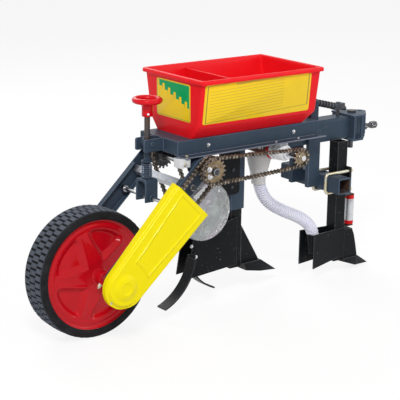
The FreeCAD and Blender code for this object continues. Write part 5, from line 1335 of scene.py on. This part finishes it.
def tub_ring(z, x0, x1, half, corner):
    """A level rectangle with round corners."""
    points = []
    for number, (x, y) in enumerate(((x1, half), (x0, half), (x0, -half), (x1, -half))):
        for k in range(8):
            a = math.radians(90 * number + 90 * k / 7)
            inward = Vector((-corner if x == x1 else corner, -corner if y > 0 else corner))
            points.append(Vector((x + inward.x + corner * math.cos(a), y + inward.y + corner * math.sin(a),
                                  z)))
    return points


# Height, rear, front, half width and corner of each ring of the tub: up the outside, round the
# lip and down the inside.
TUB = ((542.5, 293, 713, 84, 7), (577, 291.7, 732.6, 113.4, 10), (581, 291.9, 733.8, 115.8, 11),
       (587, 291.9, 733.8, 117.2, 10), (697, 289.3, 730.6, 135.8, 9), (702.4, 289, 730, 136.8, 9),
       (703.4, 288, 731, 138.2, 9), (703.6, 283.4, 735.6, 143.6, 10), (704.6, 281.4, 737.6, 145.6, 10.5),
       (708, 281, 738, 146, 11), (712.6, 281.2, 737.8, 145.8, 11), (715.0, 282.8, 736.2, 144.2, 10),
       (716, 285.6, 733.4, 141.4, 9), (715.8, 289.6, 729.4, 137.4, 9), (714.6, 292, 727, 135, 9),
       (712, 293, 726, 134, 9), (700, 293.3, 726.4, 132.4, 9), (587, 296, 729.8, 113.2, 9),
       (581, 296, 729.6, 111.6, 9), (577, 295.8, 728.4, 109.2, 8), (550, 297.5, 710.5, 82.5, 6),
       (546.5, 299, 707, 79.5, 4))
OUTLETS = ((363, -40.5), (614.5, 0))
OUTLET_SIZE = (56, 40, 14)
DIVIDER_FACES = (430.2, 435.8)


class SEEDER_OT_hopper(bpy.types.Operator):
    """Mould the two-bin hopper with its rolled lip, divider and floor outlets"""
    bl_idname = "seeder.hopper"
    bl_label = "Hopper"

    def execute(self, context):
        tub = linked("tub", Sketch().loft([tub_ring(*ring) for ring in TUB]).mesh())
        punches = Sketch()
        for x, y in OUTLETS:
            punches.block((x, y, 545), OUTLET_SIZE)
        punch = linked("punch", punches.mesh())
        cut = tub.modifiers.new("outlets", "BOOLEAN")
        cut.object = punch
        cut.solver = "EXACT"
        mesh = evaluated(tub)
        bpy.data.objects.remove(punch)
        piece("hopper_tub", mesh, "frame", finishes("hopper"), ["hopper"], 42)
        divider = Sketch()
        outline = [(80, 546.6), (110.5, 579), (112.6, 586), (131.6, 698), (131, 700.6), (129, 701.8)]
        outline += [(-y, z) for y, z in reversed(outline)]
        divider.loft([[Vector((x, y, z)) for y, z in outline] for x in DIVIDER_FACES])
        divider.done("hopper_divider", "frame", finishes("hopper", "hopper"), slot="hopper_red", edge=1.2)
        return {"FINISHED"}


FILM_CORNER = 7.0
# Each ring of a film: how far out it lies, and the share of the film's width that it keeps.
FILM_RINGS = ((-0.5, 1), (0.6, 1), (0.8, 0.996))


def film(name, corners, finish):
    """A printed film with round corners. Its corners go lower left, lower right, upper right, upper left."""
    low_left, low_right, high_right, high_left = (Vector(c) for c in corners)
    wide = (low_right - low_left).length
    tall = (high_left - low_left).length
    out = (low_right - low_left).cross(high_left - low_left).normalized()
    outline = []
    for number, (u, v) in enumerate(((1, 0), (1, 1), (0, 1), (0, 0))):
        for k in range(7):
            a = math.radians(-90 + 90 * number + 15 * k)
            outline.append(((u * wide + (-1 if u else 1) * FILM_CORNER + FILM_CORNER * math.cos(a)) / wide,
                            (v * tall + (-1 if v else 1) * FILM_CORNER + FILM_CORNER * math.sin(a)) / tall))

    def spot(u, v):
        """A place on the film from its shares across and up."""
        return low_left.lerp(low_right, u).lerp(high_left.lerp(high_right, u), v)

    mesh = Sketch().loft([[spot(0.5 + (u - 0.5) * keep, 0.5 + (v - 0.5) * keep) + out * lift
                           for u, v in outline] for lift, keep in FILM_RINGS]).mesh()
    layer = mesh.uv_layers.new(name="sheet")
    back = MM.inverted()
    for loop in mesh.loops:
        place = back @ mesh.vertices[loop.vertex_index].co
        up = (place - low_left).dot((high_left - low_left).normalized()) / tall
        start, end = low_left.lerp(high_left, up), low_right.lerp(high_right, up)
        across = (place - start).dot((end - start).normalized()) / (end - start).length
        layer.data[loop.index].uv = (across, up)
    piece(name, mesh, "frame", [finish])


class SEEDER_OT_panels(bpy.types.Operator):
    """Lay the plain printed films on the hopper's end and sides"""
    bl_idname = "seeder.panels"
    bl_label = "Hopper panels"

    def execute(self, context):
        film("end_panel", ((291.8, 79, 588), (291.8, -79, 588), (289.4, -79, 696), (289.4, 79, 696)),
             FINISH["end_sheet"])
        for hand, name in ((-1, "right_panel"), (1, "left_panel")):
            low = [(304, 117.2, 587), (701, 117.2, 587)]
            high = [(692, 136.6, 702), (299, 136.6, 702)]
            if hand > 0:
                low.reverse()
                high.reverse()
            film(name, [(x, hand * y, z) for x, y, z in low + high], FINISH["side_sheet"])
        return {"FINISHED"}


# Where the stay rod's ribs start and end.
ROD_RUN = (Vector((842, 0, 574.4)), Vector((930, 0, 552.0)))
ROD_RIBS = 8
# A face of the tool bar that lies deeper than this is in its bore.
BAR_WALL = 1.5


class SEEDER_OT_frame(bpy.types.Operator):
    """Finish the pressed tray, rails, posts and bars"""
    bl_idname = "seeder.frame"
    bl_label = "Frame"

    def execute(self, context):
        edge = context.scene.seeder_sizes.frame_edge * 1000
        for node in ("frame_tray", "side_rails", "middle_post", "drawbar", "front_posts"):
            # The rails' edges get a paler painted highlight than the frame's other edges.
            worn = "rail_painted_highlight" if node == "side_rails" else "frame_edge"
            softened(node, "frame", finishes("frame", worn), edge)
        (x0, x1), (y0, y1), (z0, z1) = spans("tool_bar")

        def bore(p):
            """2 for a face in the bar's bore, 0 for one outside or on the bar's end."""
            deep = min(p.x - x0, x1 - p.x, p.z - z0, z1 - p.z) > BAR_WALL
            return 2 if deep and min(p.y - y0, y1 - p.y) > 0.5 else 0

        softened("tool_bar", "frame", finishes("frame", "frame_edge", "rust"), edge, pick=bore)
        framework("stay_post", "frame", edge)
        softened("stay_rod", "frame", finishes("dark", "frame_edge"), 0.5)
        start, end = ROD_RUN
        places = [start.lerp(end, k / (ROD_RIBS - 1)) for k in range(ROD_RIBS)]
        grown("stay_rod_ribs", ridge_tree(FINISH["dark"]), places, "frame", {"Radius": 11.0, "Depth": 7.4},
              (end - start).normalized())
        return {"FINISHED"}


# ---- depth screw -------------------------------------------------------------------------
def arch(half, low, high, corner):
    """An upright outline, open at its foot, with two round shoulders."""
    points = [(-half, low)]
    for hand in (-1, 1):
        for k in range(7):
            a = math.radians(15 * k)
            aside = half - corner + corner * (math.cos(a) if hand < 0 else math.sin(a))
            points.append((hand * aside, high - corner + corner * (math.sin(a) if hand < 0 else math.cos(a))))
    return points + [(half, low)]


UPRIGHT = Vector((0, 0, 1))
# How far the screw stops short of its CAD top, its thread, the handwheel's rim, and the clevis's rod.
SCREW_SHORT = 20
THREAD_RADIUS = 8.6
GROOVE_DEPTH = 0.75
THREAD_TURNS = 41.0
THREAD_LONG = 102.0
RIM_HEIGHT = 651.0
RIM_RADIUS = 35.6
RIM_ROUND = 8.3
ROD_RADIUS = 6


class SEEDER_OT_depth_screw(bpy.types.Operator):
    """Build the depth screw: handwheel, threads, spring, clevis and trunnion"""
    bl_idname = "seeder.depth_screw"
    bl_label = "Depth screw"

    def execute(self, context):
        across, aside, (low, high) = spans("depth_screw")
        foot = Vector((sum(across) / 2, sum(aside) / 2, 0))
        high -= SCREW_SHORT
        bore, core = THREAD_RADIUS + 0.1, THREAD_RADIUS - 0.5
        hub_low = spans("handwheel")[2][0]
        rim = [(RIM_RADIUS + RIM_ROUND * math.cos(a), RIM_HEIGHT + RIM_ROUND * math.sin(a))
               for a in (math.radians(15 * k) for k in range(-5, 15))]
        profile = [(bore, hub_low), (14.6, hub_low), (15.6, hub_low + 1.2), (15.8, 632), (17, 637.5),
                   (21, 640.5), (29, 642.6), *rim, (26.6, 643.5), (20, 637.5), (14, 636.5), (12.6, 638),
                   (12.2, high - 3), (11, high - 1.6), (bore, high - 1.6), (bore, hub_low)]
        Sketch().lathe(profile, foot, "Z", 72).done("handwheel_moulding", "screw", finishes("knob"),
                                                    ["handwheel"], "handwheel_red", sharp=50)
        for name, finish, replaced, slot, profile in (
                ("screw_foot", "frame", [], "frame_slate",
                 [(0, 476), (9, 476), (9, 499), (core, 501), (0, 501)]),
                # The stem inside the spring is dark and rusty; its darkness is also painted shade in the gaps
                # between the spring's turns.
                ("screw_stem", "rust", [], "dark_steel", [(0, low), (7.6, low), (7.6, 477), (0, 477)]),
                ("screw_core", "thread", ["depth_screw"], "frame_slate",
                 [(0, 500), (core, 500), (core, high - 1), (core - 1, high), (0, high)])):
            Sketch().lathe(profile, foot, "Z", 32).done(name, "screw", finishes(finish), replaced, slot)
        grown("screw_thread", coil_tree(FINISH["thread"]), [foot + UPRIGHT * 502], "screw",
              {"Radius": THREAD_RADIUS - GROOVE_DEPTH, "Wire": GROOVE_DEPTH, "Turns": THREAD_TURNS,
               "Height": THREAD_LONG, "Steps": 14, "Sides": 4}, UPRIGHT, sharp=0)
        spring_low, spring_top = spans("screw_spring")[2]
        turns = context.scene.seeder_sizes.spring_turns
        grown("spring_coil", coil_tree(FINISH["spring"]), [foot + UPRIGHT * (spring_low + 2)], "screw",
              {"Radius": 14.0, "Wire": 1.5, "Turns": turns, "Height": spring_top - spring_low - 4,
               "Steps": 30, "Sides": 9}, UPRIGHT, replaces=["screw_spring"], sharp=0)
        collar = [(9.1, 473), (15, 473), (16.4, 474), (16.4, 477), (15.4, 478), (9.1, 478), (9.1, 473)]
        Sketch().lathe(collar, foot, "Z", 40).done("spring_collar", "screw", finishes("frame"),
                                                   slot="frame_slate")
        low, high = spans("screw_clevis")[2]
        strap = arch(25, low, high, 9) + arch(18.5, low, high - 7, 11)[::-1]
        fork = Sketch().loft([[Vector((x, y, z)) for y, z in strap] for x in (foot.x - 21, foot.x + 21)])
        fork.done("clevis_fork", "screw", finishes("frame", "frame_edge"), ["screw_clevis"], "frame_slate",
                  edge=1.4)
        rod = (foot.x, 0, spans("arm_cross_bars")[2][0] + ROD_RADIUS)
        for name, body, looks, slot, edge, ring in (
                ("clevis_bosses", "screw", finishes("frame", "frame_edge"), "frame_slate", 0.5,
                 [(7.1, 24), (10.8, 24), (10.8, 29.5), (9.8, 30.6), (7.1, 30.6), (7.1, 24)]),
                ("rod_collars", "wheel_arms", finishes("bright"), "bright_steel", 0,
                 [(6.2, 103), (9.6, 103), (10, 103.6), (10, 115.4), (9.6, 116), (6.2, 116), (6.2, 103)])):
            pair = Sketch()
            for hand in (-1, 1):
                pair.lathe([(r, hand * y) for r, y in ring], rod, steps=28)
            pair.done(name, body, looks, slot=slot, edge=edge)
        framework("trunnion", "screw_trunnion", 1.0)
        grown("handwheel_set_screw", fastener_tree(FINISH["bright"]), [foot + Vector((-6.2, -13.6, 612.7))],
              "screw", {"Across": 2.8, "Head": 2.0, "Washer": 3.6, "Shim": 0.6}, Vector((-0.4, -0.92, 0)))
        return {"FINISHED"}


# ---- seed meter and opener ---------------------------------------------------------------
# The clear dome's shoulder and wall, its screws' circle, number and first turn, and the flap under it.
DOME_ROUND = 15
DOME_WALL = 2.4
DOME_SCREWS = (70, 3, 297)
FLAP = ((343.8, 397.5), (362.3, 385.6), (321.8, 358.2), (303.2, 370.8))
FLAP_FACES = (-80.8, -79.2)


class SEEDER_OT_seed_meter(bpy.types.Operator):
    """Build the seed meter behind its clear dome"""
    bl_idname = "seeder.seed_meter"
    bl_label = "Seed meter"

    def execute(self, context):
        moulding("meter_housing", 0.8)
        (x0, x1), (y0, y1), (z0, z1) = spans("meter_cover")
        middle = Vector(((x0 + x1) / 2, 0, (z0 + z1) / 2))
        reach = (x1 - x0) / 2
        shoulder = [math.radians(12 * k) for k in range(1, 8)]
        outer = [(reach, y1), (reach, y0 + DOME_ROUND)]
        outer += [(reach - DOME_ROUND + DOME_ROUND * math.cos(a), y0 + DOME_ROUND - DOME_ROUND * math.sin(a))
                  for a in shoulder]
        outer += [(62, y0 + 0.1), (60, y0 + 1.2), (34, y0 + 1.4), (32, y0 + 0.3), (0, y0 + 0.3)]
        inner = [(r * (reach - DOME_WALL) / reach, min(y + 2.3, y1)) for r, y in outer]
        Sketch().lathe(outer + inner[::-1] + outer[:1], middle, steps=96).done(
            "clear_dome", "frame", finishes("clear"), ["meter_cover"], "clear_plastic", sharp=40)
        softened("seed_disc", "meter_rotor", finishes("mint", "white"), 0.6)
        moulding("seed_chute", 0.6)
        moulding("seed_gate", 0.9)
        Sketch().loft([[Vector((x, y, z)) for x, z in FLAP] for y in FLAP_FACES]).done(
            "meter_flap", "frame", finishes("white", "white"), slot="white_plastic", edge=0.4)
        places, _ = ring_of((middle.x, y0 + 0.4, middle.z), *DOME_SCREWS)
        grown("dome_screws", fastener_tree(FINISH["bright"]), places, "frame",
              {"Across": 3.2, "Head": 2.0, "Washer": 4.4, "Shim": 0.5, "Sides": 14}, Vector((0, -1, 0)))
        return {"FINISHED"}


class SEEDER_OT_openers(bpy.types.Operator):
    """Finish the seed opener, coverers and fertiliser opener in scuffed black"""
    bl_idname = "seeder.openers"
    bl_label = "Openers"

    def execute(self, context):
        edge = context.scene.seeder_sizes.sheet_edge * 1000
        for node in ("seed_shank", "seed_boot", "seed_share", "coverers", "fertiliser_shank",
                     "fertiliser_wings", "fertiliser_funnel", "shin_plate", "fertiliser_share",
                     "roller_bracket", "clamp_plate", "meter_bracket"):
            softened(node, "frame", finishes("opener", "opener_edge"), edge)
        softened("u_bolts", "frame", finishes("zinc", "zinc"), 0.5, 40)
        return {"FINISHED"}


# How far above the front shaft the meter turns white, and its bracket is painted.
METER_TOP = 27
BRACKET_TOP = 19


class SEEDER_OT_fertiliser_feed(bpy.types.Operator):
    """Finish the fertiliser meter, its cup and seals"""
    bl_idname = "seeder.fertiliser_feed"
    bl_label = "Fertiliser feed"

    def execute(self, context):
        softened("fertiliser_meter", "frame", finishes("brown", "white", "white"), 1.0,
                 pick=lambda p: 2 if p.z > FRONT.z + METER_TOP else 0)
        softened("shaft_bracket", "frame", finishes("white", "frame_edge", "frame"), 0.6,
                 pick=lambda p: 2 if p.z > FRONT.z + BRACKET_TOP else 0)
        barrel = [(18, -62.3), (27.6, -62.3), (28, -63), (28, -67), (25.6, -68), (25.2, -84), (26.2, -84.6),
                  (26.2, -87), (25, -87.6), (24, -108), (21, -114), (18, -115), (18, -62.3)]
        seal = [(26.2, -61.8), (28.4, -61.4), (28.9, -58), (28.6, -52), (26.2, -51.6), (26.2, -61.8)]
        for name, finish, profile in (("meter_barrel", "white", barrel), ("red_seal", "seal", seal)):
            Sketch().lathe(profile, FRONT).done(name, "frame", finishes(finish), slot="white_plastic")
        softened("fertiliser_cup", "frame", finishes("cup", "cup"), 1.0)
        return {"FINISHED"}


class SEEDER_OT_hitch(bpy.types.Operator):
    """Finish the hitch bracket, yoke, king pin and set bolt"""
    bl_idname = "seeder.hitch"
    bl_label = "Hitch"

    def execute(self, context):
        framework("hitch_bracket", "frame", 0.9)
        framework("hitch_yoke", "yoke", 0.9)
        softened("king_pin", "frame", finishes("dark", "dark"), 0.6)
        softened("set_bolt", "yoke", finishes("dark", "bright"), 0.5)
        return {"FINISHED"}


class SEEDER_OT_roller(bpy.types.Operator):
    """Turn the stubble roller and press in its caps"""
    bl_idname = "seeder.roller"
    bl_label = "Stubble roller"

    def execute(self, context):
        (x0, x1), aside, (low, high) = spans("stubble_roller")
        foot = Vector(((x0 + x1) / 2, sum(aside) / 2, 0))
        reach = (x1 - x0) / 2
        wall = reach - 0.3
        tube = [(4, low + 8), (wall - 0.2, low + 8), (wall, low + 14), (wall, high - 14),
                (wall - 0.2, high - 8), (4, high - 8), (4, low + 8)]
        Sketch().lathe(tube, foot, "Z").done("roller_tube", "roller", finishes("roller"), ["stubble_roller"],
                                             "bright_steel")
        cap = [(4, 0), (reach - 2, 0), (reach, 1.6), (reach, 12.4), (reach - 1, 13.6), (reach - 2, 14),
               (4, 14), (4, 0)]
        caps = Sketch()
        for end, way in ((low, 1), (high, -1)):
            caps.lathe([(r, end + way * z) for r, z in cap], foot, "Z")
        caps.done("roller_caps", "roller", finishes("cap"), slot="roller_red")
        return {"FINISHED"}


# ---- fixings -----------------------------------------------------------------------------
def pairs(places):
    """Each place on both sides of the machine, the right one first."""
    return [(x, hand * y, z) for x, y, z in places for hand in (-1, 1)]


class SEEDER_OT_fixings(bpy.types.Operator):
    """Fit the screws, bolts and nuts"""
    bl_idname = "seeder.fixings"
    bl_label = "Fixings"

    def execute(self, context):
        trees = {name: fastener_tree(FINISH[name]) for name in ("bright", "zinc", "dark")}
        pan = {"Across": 4.6, "Head": 2.8, "Washer": 6.2, "Shim": 0.8, "Sides": 16}
        small = {"Across": 3.6, "Head": 2.8, "Washer": 5.2, "Shim": 0.8, "Tail": 1.2}
        ring = {"Across": 7.0, "Head": 1.0, "Washer": 9.6, "Shim": 2.0, "Sides": 24}
        arm = {"Across": 6.4, "Head": 4.4, "Washer": 6.0, "Shim": 2.2, "Tail": 1.0}
        shaft = {"Across": 12.5, "Head": 5.9, "Washer": 0.1, "Shim": 0.2, "Tail": 0.4}
        large = {"Across": 6.0, "Head": 5.0, "Washer": 8.0, "Shim": 1.2, "Tail": 0.4}
        arm_pins = pairs([(265.5, 128, 414.8)])
        # Name, finish, body, sizes, whether they stand up or face out to their side, and places.
        for name, finish, body, sizes, upright, places in (
                ("tray_screws", "bright", "frame", pan, False, pairs([(348.6, 90, 520), (670.5, 90, 520)])),
                ("rail_nuts", "bright", "frame", small, True,
                 pairs([(594.5, 99.3, 499.4), (683.6, 97.2, 499.4)])),
                ("rail_zinc_nuts", "zinc", "frame", small, True, pairs([(262.9, 101.9, 499.4)])),
                ("arm_rings", "bright", "wheel_arms", ring, False, arm_pins),
                ("arm_nuts", "dark", "wheel_arms", arm, False, arm_pins),
                ("boot_bolts", "bright", "frame", small, False, [(357, -30, 169.8), (340, -30, 205)]),
                ("bracket_bolts", "dark", "frame", small, False, [(490.4, -31, 415.7), (486.7, -31, 362.6)]),
                ("gate_bolt", "zinc", "frame", small, False, [(249.8, -111.6, 480)]),
                ("shaft_nut", "dark", "middle_axle", shaft, False, [(MIDDLE.x, -184, MIDDLE.z)]),
                ("sprocket_bolt", "bright", "middle_axle", large, False,
                 [(MIDDLE.x - 17, -181, MIDDLE.z - 12), (MIDDLE.x - 19, -181, MIDDLE.z + 8)])):
            ways = [UPRIGHT if upright else Vector((0, math.copysign(1, y), 0)) for _, y, _ in places]
            grown(name, trees[finish], places, body, sizes, ways)
        return {"FINISHED"}


# ---- stage -------------------------------------------------------------------------------
FLOOR_HALF = 9.0
FLOOR_GLOW = 1.06
FLOOR_GLOW_SHARE = 0.8
ROOM_LIGHT = 0.44
# Each lamp: its name, place, what it points at, power in watts and width, in metres.
LAMPS = (("key", (-2.2, -2.6, 3.4), (0.1, 0, 0.35), 104, 1.0),
         ("fill", (2.6, -2.4, 1.6), (0.2, 0, 0.3), 24, 2.2),
         ("back", (0.5, 2.8, 2.6), (0.1, 0, 0.35), 45, 2.2))


def seen(graph):
    """1 where it is seen, straight, mirrored or through glass, and 0 for the light that it gives."""
    outs = graph.node("ShaderNodeLightPath").socket.node.outputs
    straight, mirrored, through = (Wire(graph, outs["Is %s Ray" % ray])
                                   for ray in ("Camera", "Glossy", "Transmission"))
    return (straight + mirrored + through).math("MINIMUM", 1.0)


class SEEDER_OT_stage(bpy.types.Operator):
    """Lay the pale floor and light it softly"""
    bl_idname = "seeder.stage"
    bl_label = "Stage"

    def execute(self, context):
        scene = context.scene
        scene.view_settings.view_transform = "Standard"
        mesh = bpy.data.meshes.new("floor")
        corners = [(x * FLOOR_HALF, y * FLOOR_HALF, 0) for x, y in ((-1, -1), (1, -1), (1, 1), (-1, 1))]
        mesh.from_pydata(corners, [], [(0, 1, 2, 3)])
        floor = linked("floor", mesh)
        made, graph = material("pale_floor")
        tone = graph.mix(graph.noise(3, 3), (0.80, 0.80, 0.80), (0.83, 0.83, 0.83))
        plain = graph.node("ShaderNodeBsdfDiffuse", {}, {"Color": tone})
        glow = graph.node("ShaderNodeEmission", {}, {"Color": (1, 1, 1, 1), "Strength": FLOOR_GLOW})
        pale = graph.node("ShaderNodeMixShader", {}, {0: seen(graph) * FLOOR_GLOW_SHARE, 1: plain, 2: glow})
        graph.node("ShaderNodeOutputMaterial", {}, {"Surface": pale})
        mesh.materials.append(made)
        world = bpy.data.worlds.new("studio")
        scene.world = world
        world.use_nodes = True
        world.node_tree.nodes.clear()
        graph = Graph(world.node_tree)
        strength = ROOM_LIGHT + seen(graph) * (1 - ROOM_LIGHT)
        room = graph.node("ShaderNodeBackground", {}, {"Color": (1, 1, 1, 1), "Strength": strength})
        graph.node("ShaderNodeOutputWorld", {}, {"Surface": room})
        for name, place, aim, power, size in LAMPS:
            lamp = bpy.data.lights.new(name, "AREA")
            lamp.energy = power
            lamp.size = size
            stand = linked(name, lamp)
            place, aim = Vector(place), Vector(aim)
            turn = (place - aim).to_track_quat("Z", "Y").to_matrix().to_4x4()
            stand.matrix_world = Matrix.Translation(place) @ turn
        return {"FINISHED"}


# ---- add-on ------------------------------------------------------------------------------
OPERATORS = (SEEDER_OT_camera, SEEDER_OT_finishes, SEEDER_OT_hose, SEEDER_OT_tyre, SEEDER_OT_wheel_disc,
             SEEDER_OT_wheel_hub, SEEDER_OT_shafts, SEEDER_OT_chains, SEEDER_OT_chain_cover, SEEDER_OT_arms,
             SEEDER_OT_hopper, SEEDER_OT_panels, SEEDER_OT_frame, SEEDER_OT_depth_screw,
             SEEDER_OT_seed_meter, SEEDER_OT_openers, SEEDER_OT_fertiliser_feed, SEEDER_OT_hitch,
             SEEDER_OT_roller, SEEDER_OT_fixings, SEEDER_OT_stage)


class SEEDER_PT_panel(bpy.types.Panel):
    """Lists the machine's pieces with their sizes and colours"""
    bl_idname = "SEEDER_PT_panel"
    bl_label = "Row Seeder"
    bl_space_type = "VIEW_3D"
    bl_region_type = "UI"
    bl_category = "Seeder"

    def draw(self, context):
        column = self.layout.column(align=True)
        for group in (context.scene.seeder_sizes, context.scene.seeder_colours):
            for name in group.__annotations__:
                column.prop(group, name)
            column.separator()
        for operator in OPERATORS:
            column.operator(operator.bl_idname)


CLASSES = (SeederColours, SeederSizes, *OPERATORS, SEEDER_PT_panel)


def register():
    """Registers the classes and gives the scene its sizes and colours."""
    for made in CLASSES:
        bpy.utils.register_class(made)
    bpy.types.Scene.seeder_colours = PointerProperty(type=SeederColours)
    bpy.types.Scene.seeder_sizes = PointerProperty(type=SeederSizes)


def unregister():
    """Takes back what register did."""
    del bpy.types.Scene.seeder_sizes
    del bpy.types.Scene.seeder_colours
    for made in reversed(CLASSES):
        bpy.utils.unregister_class(made)


def main():
    """Makes every piece in turn."""
    register()
    for operator in OPERATORS:
        category, name = operator.bl_idname.split(".")
        getattr(getattr(bpy.ops, category), name)()


if __name__ == "__main__":
    main()
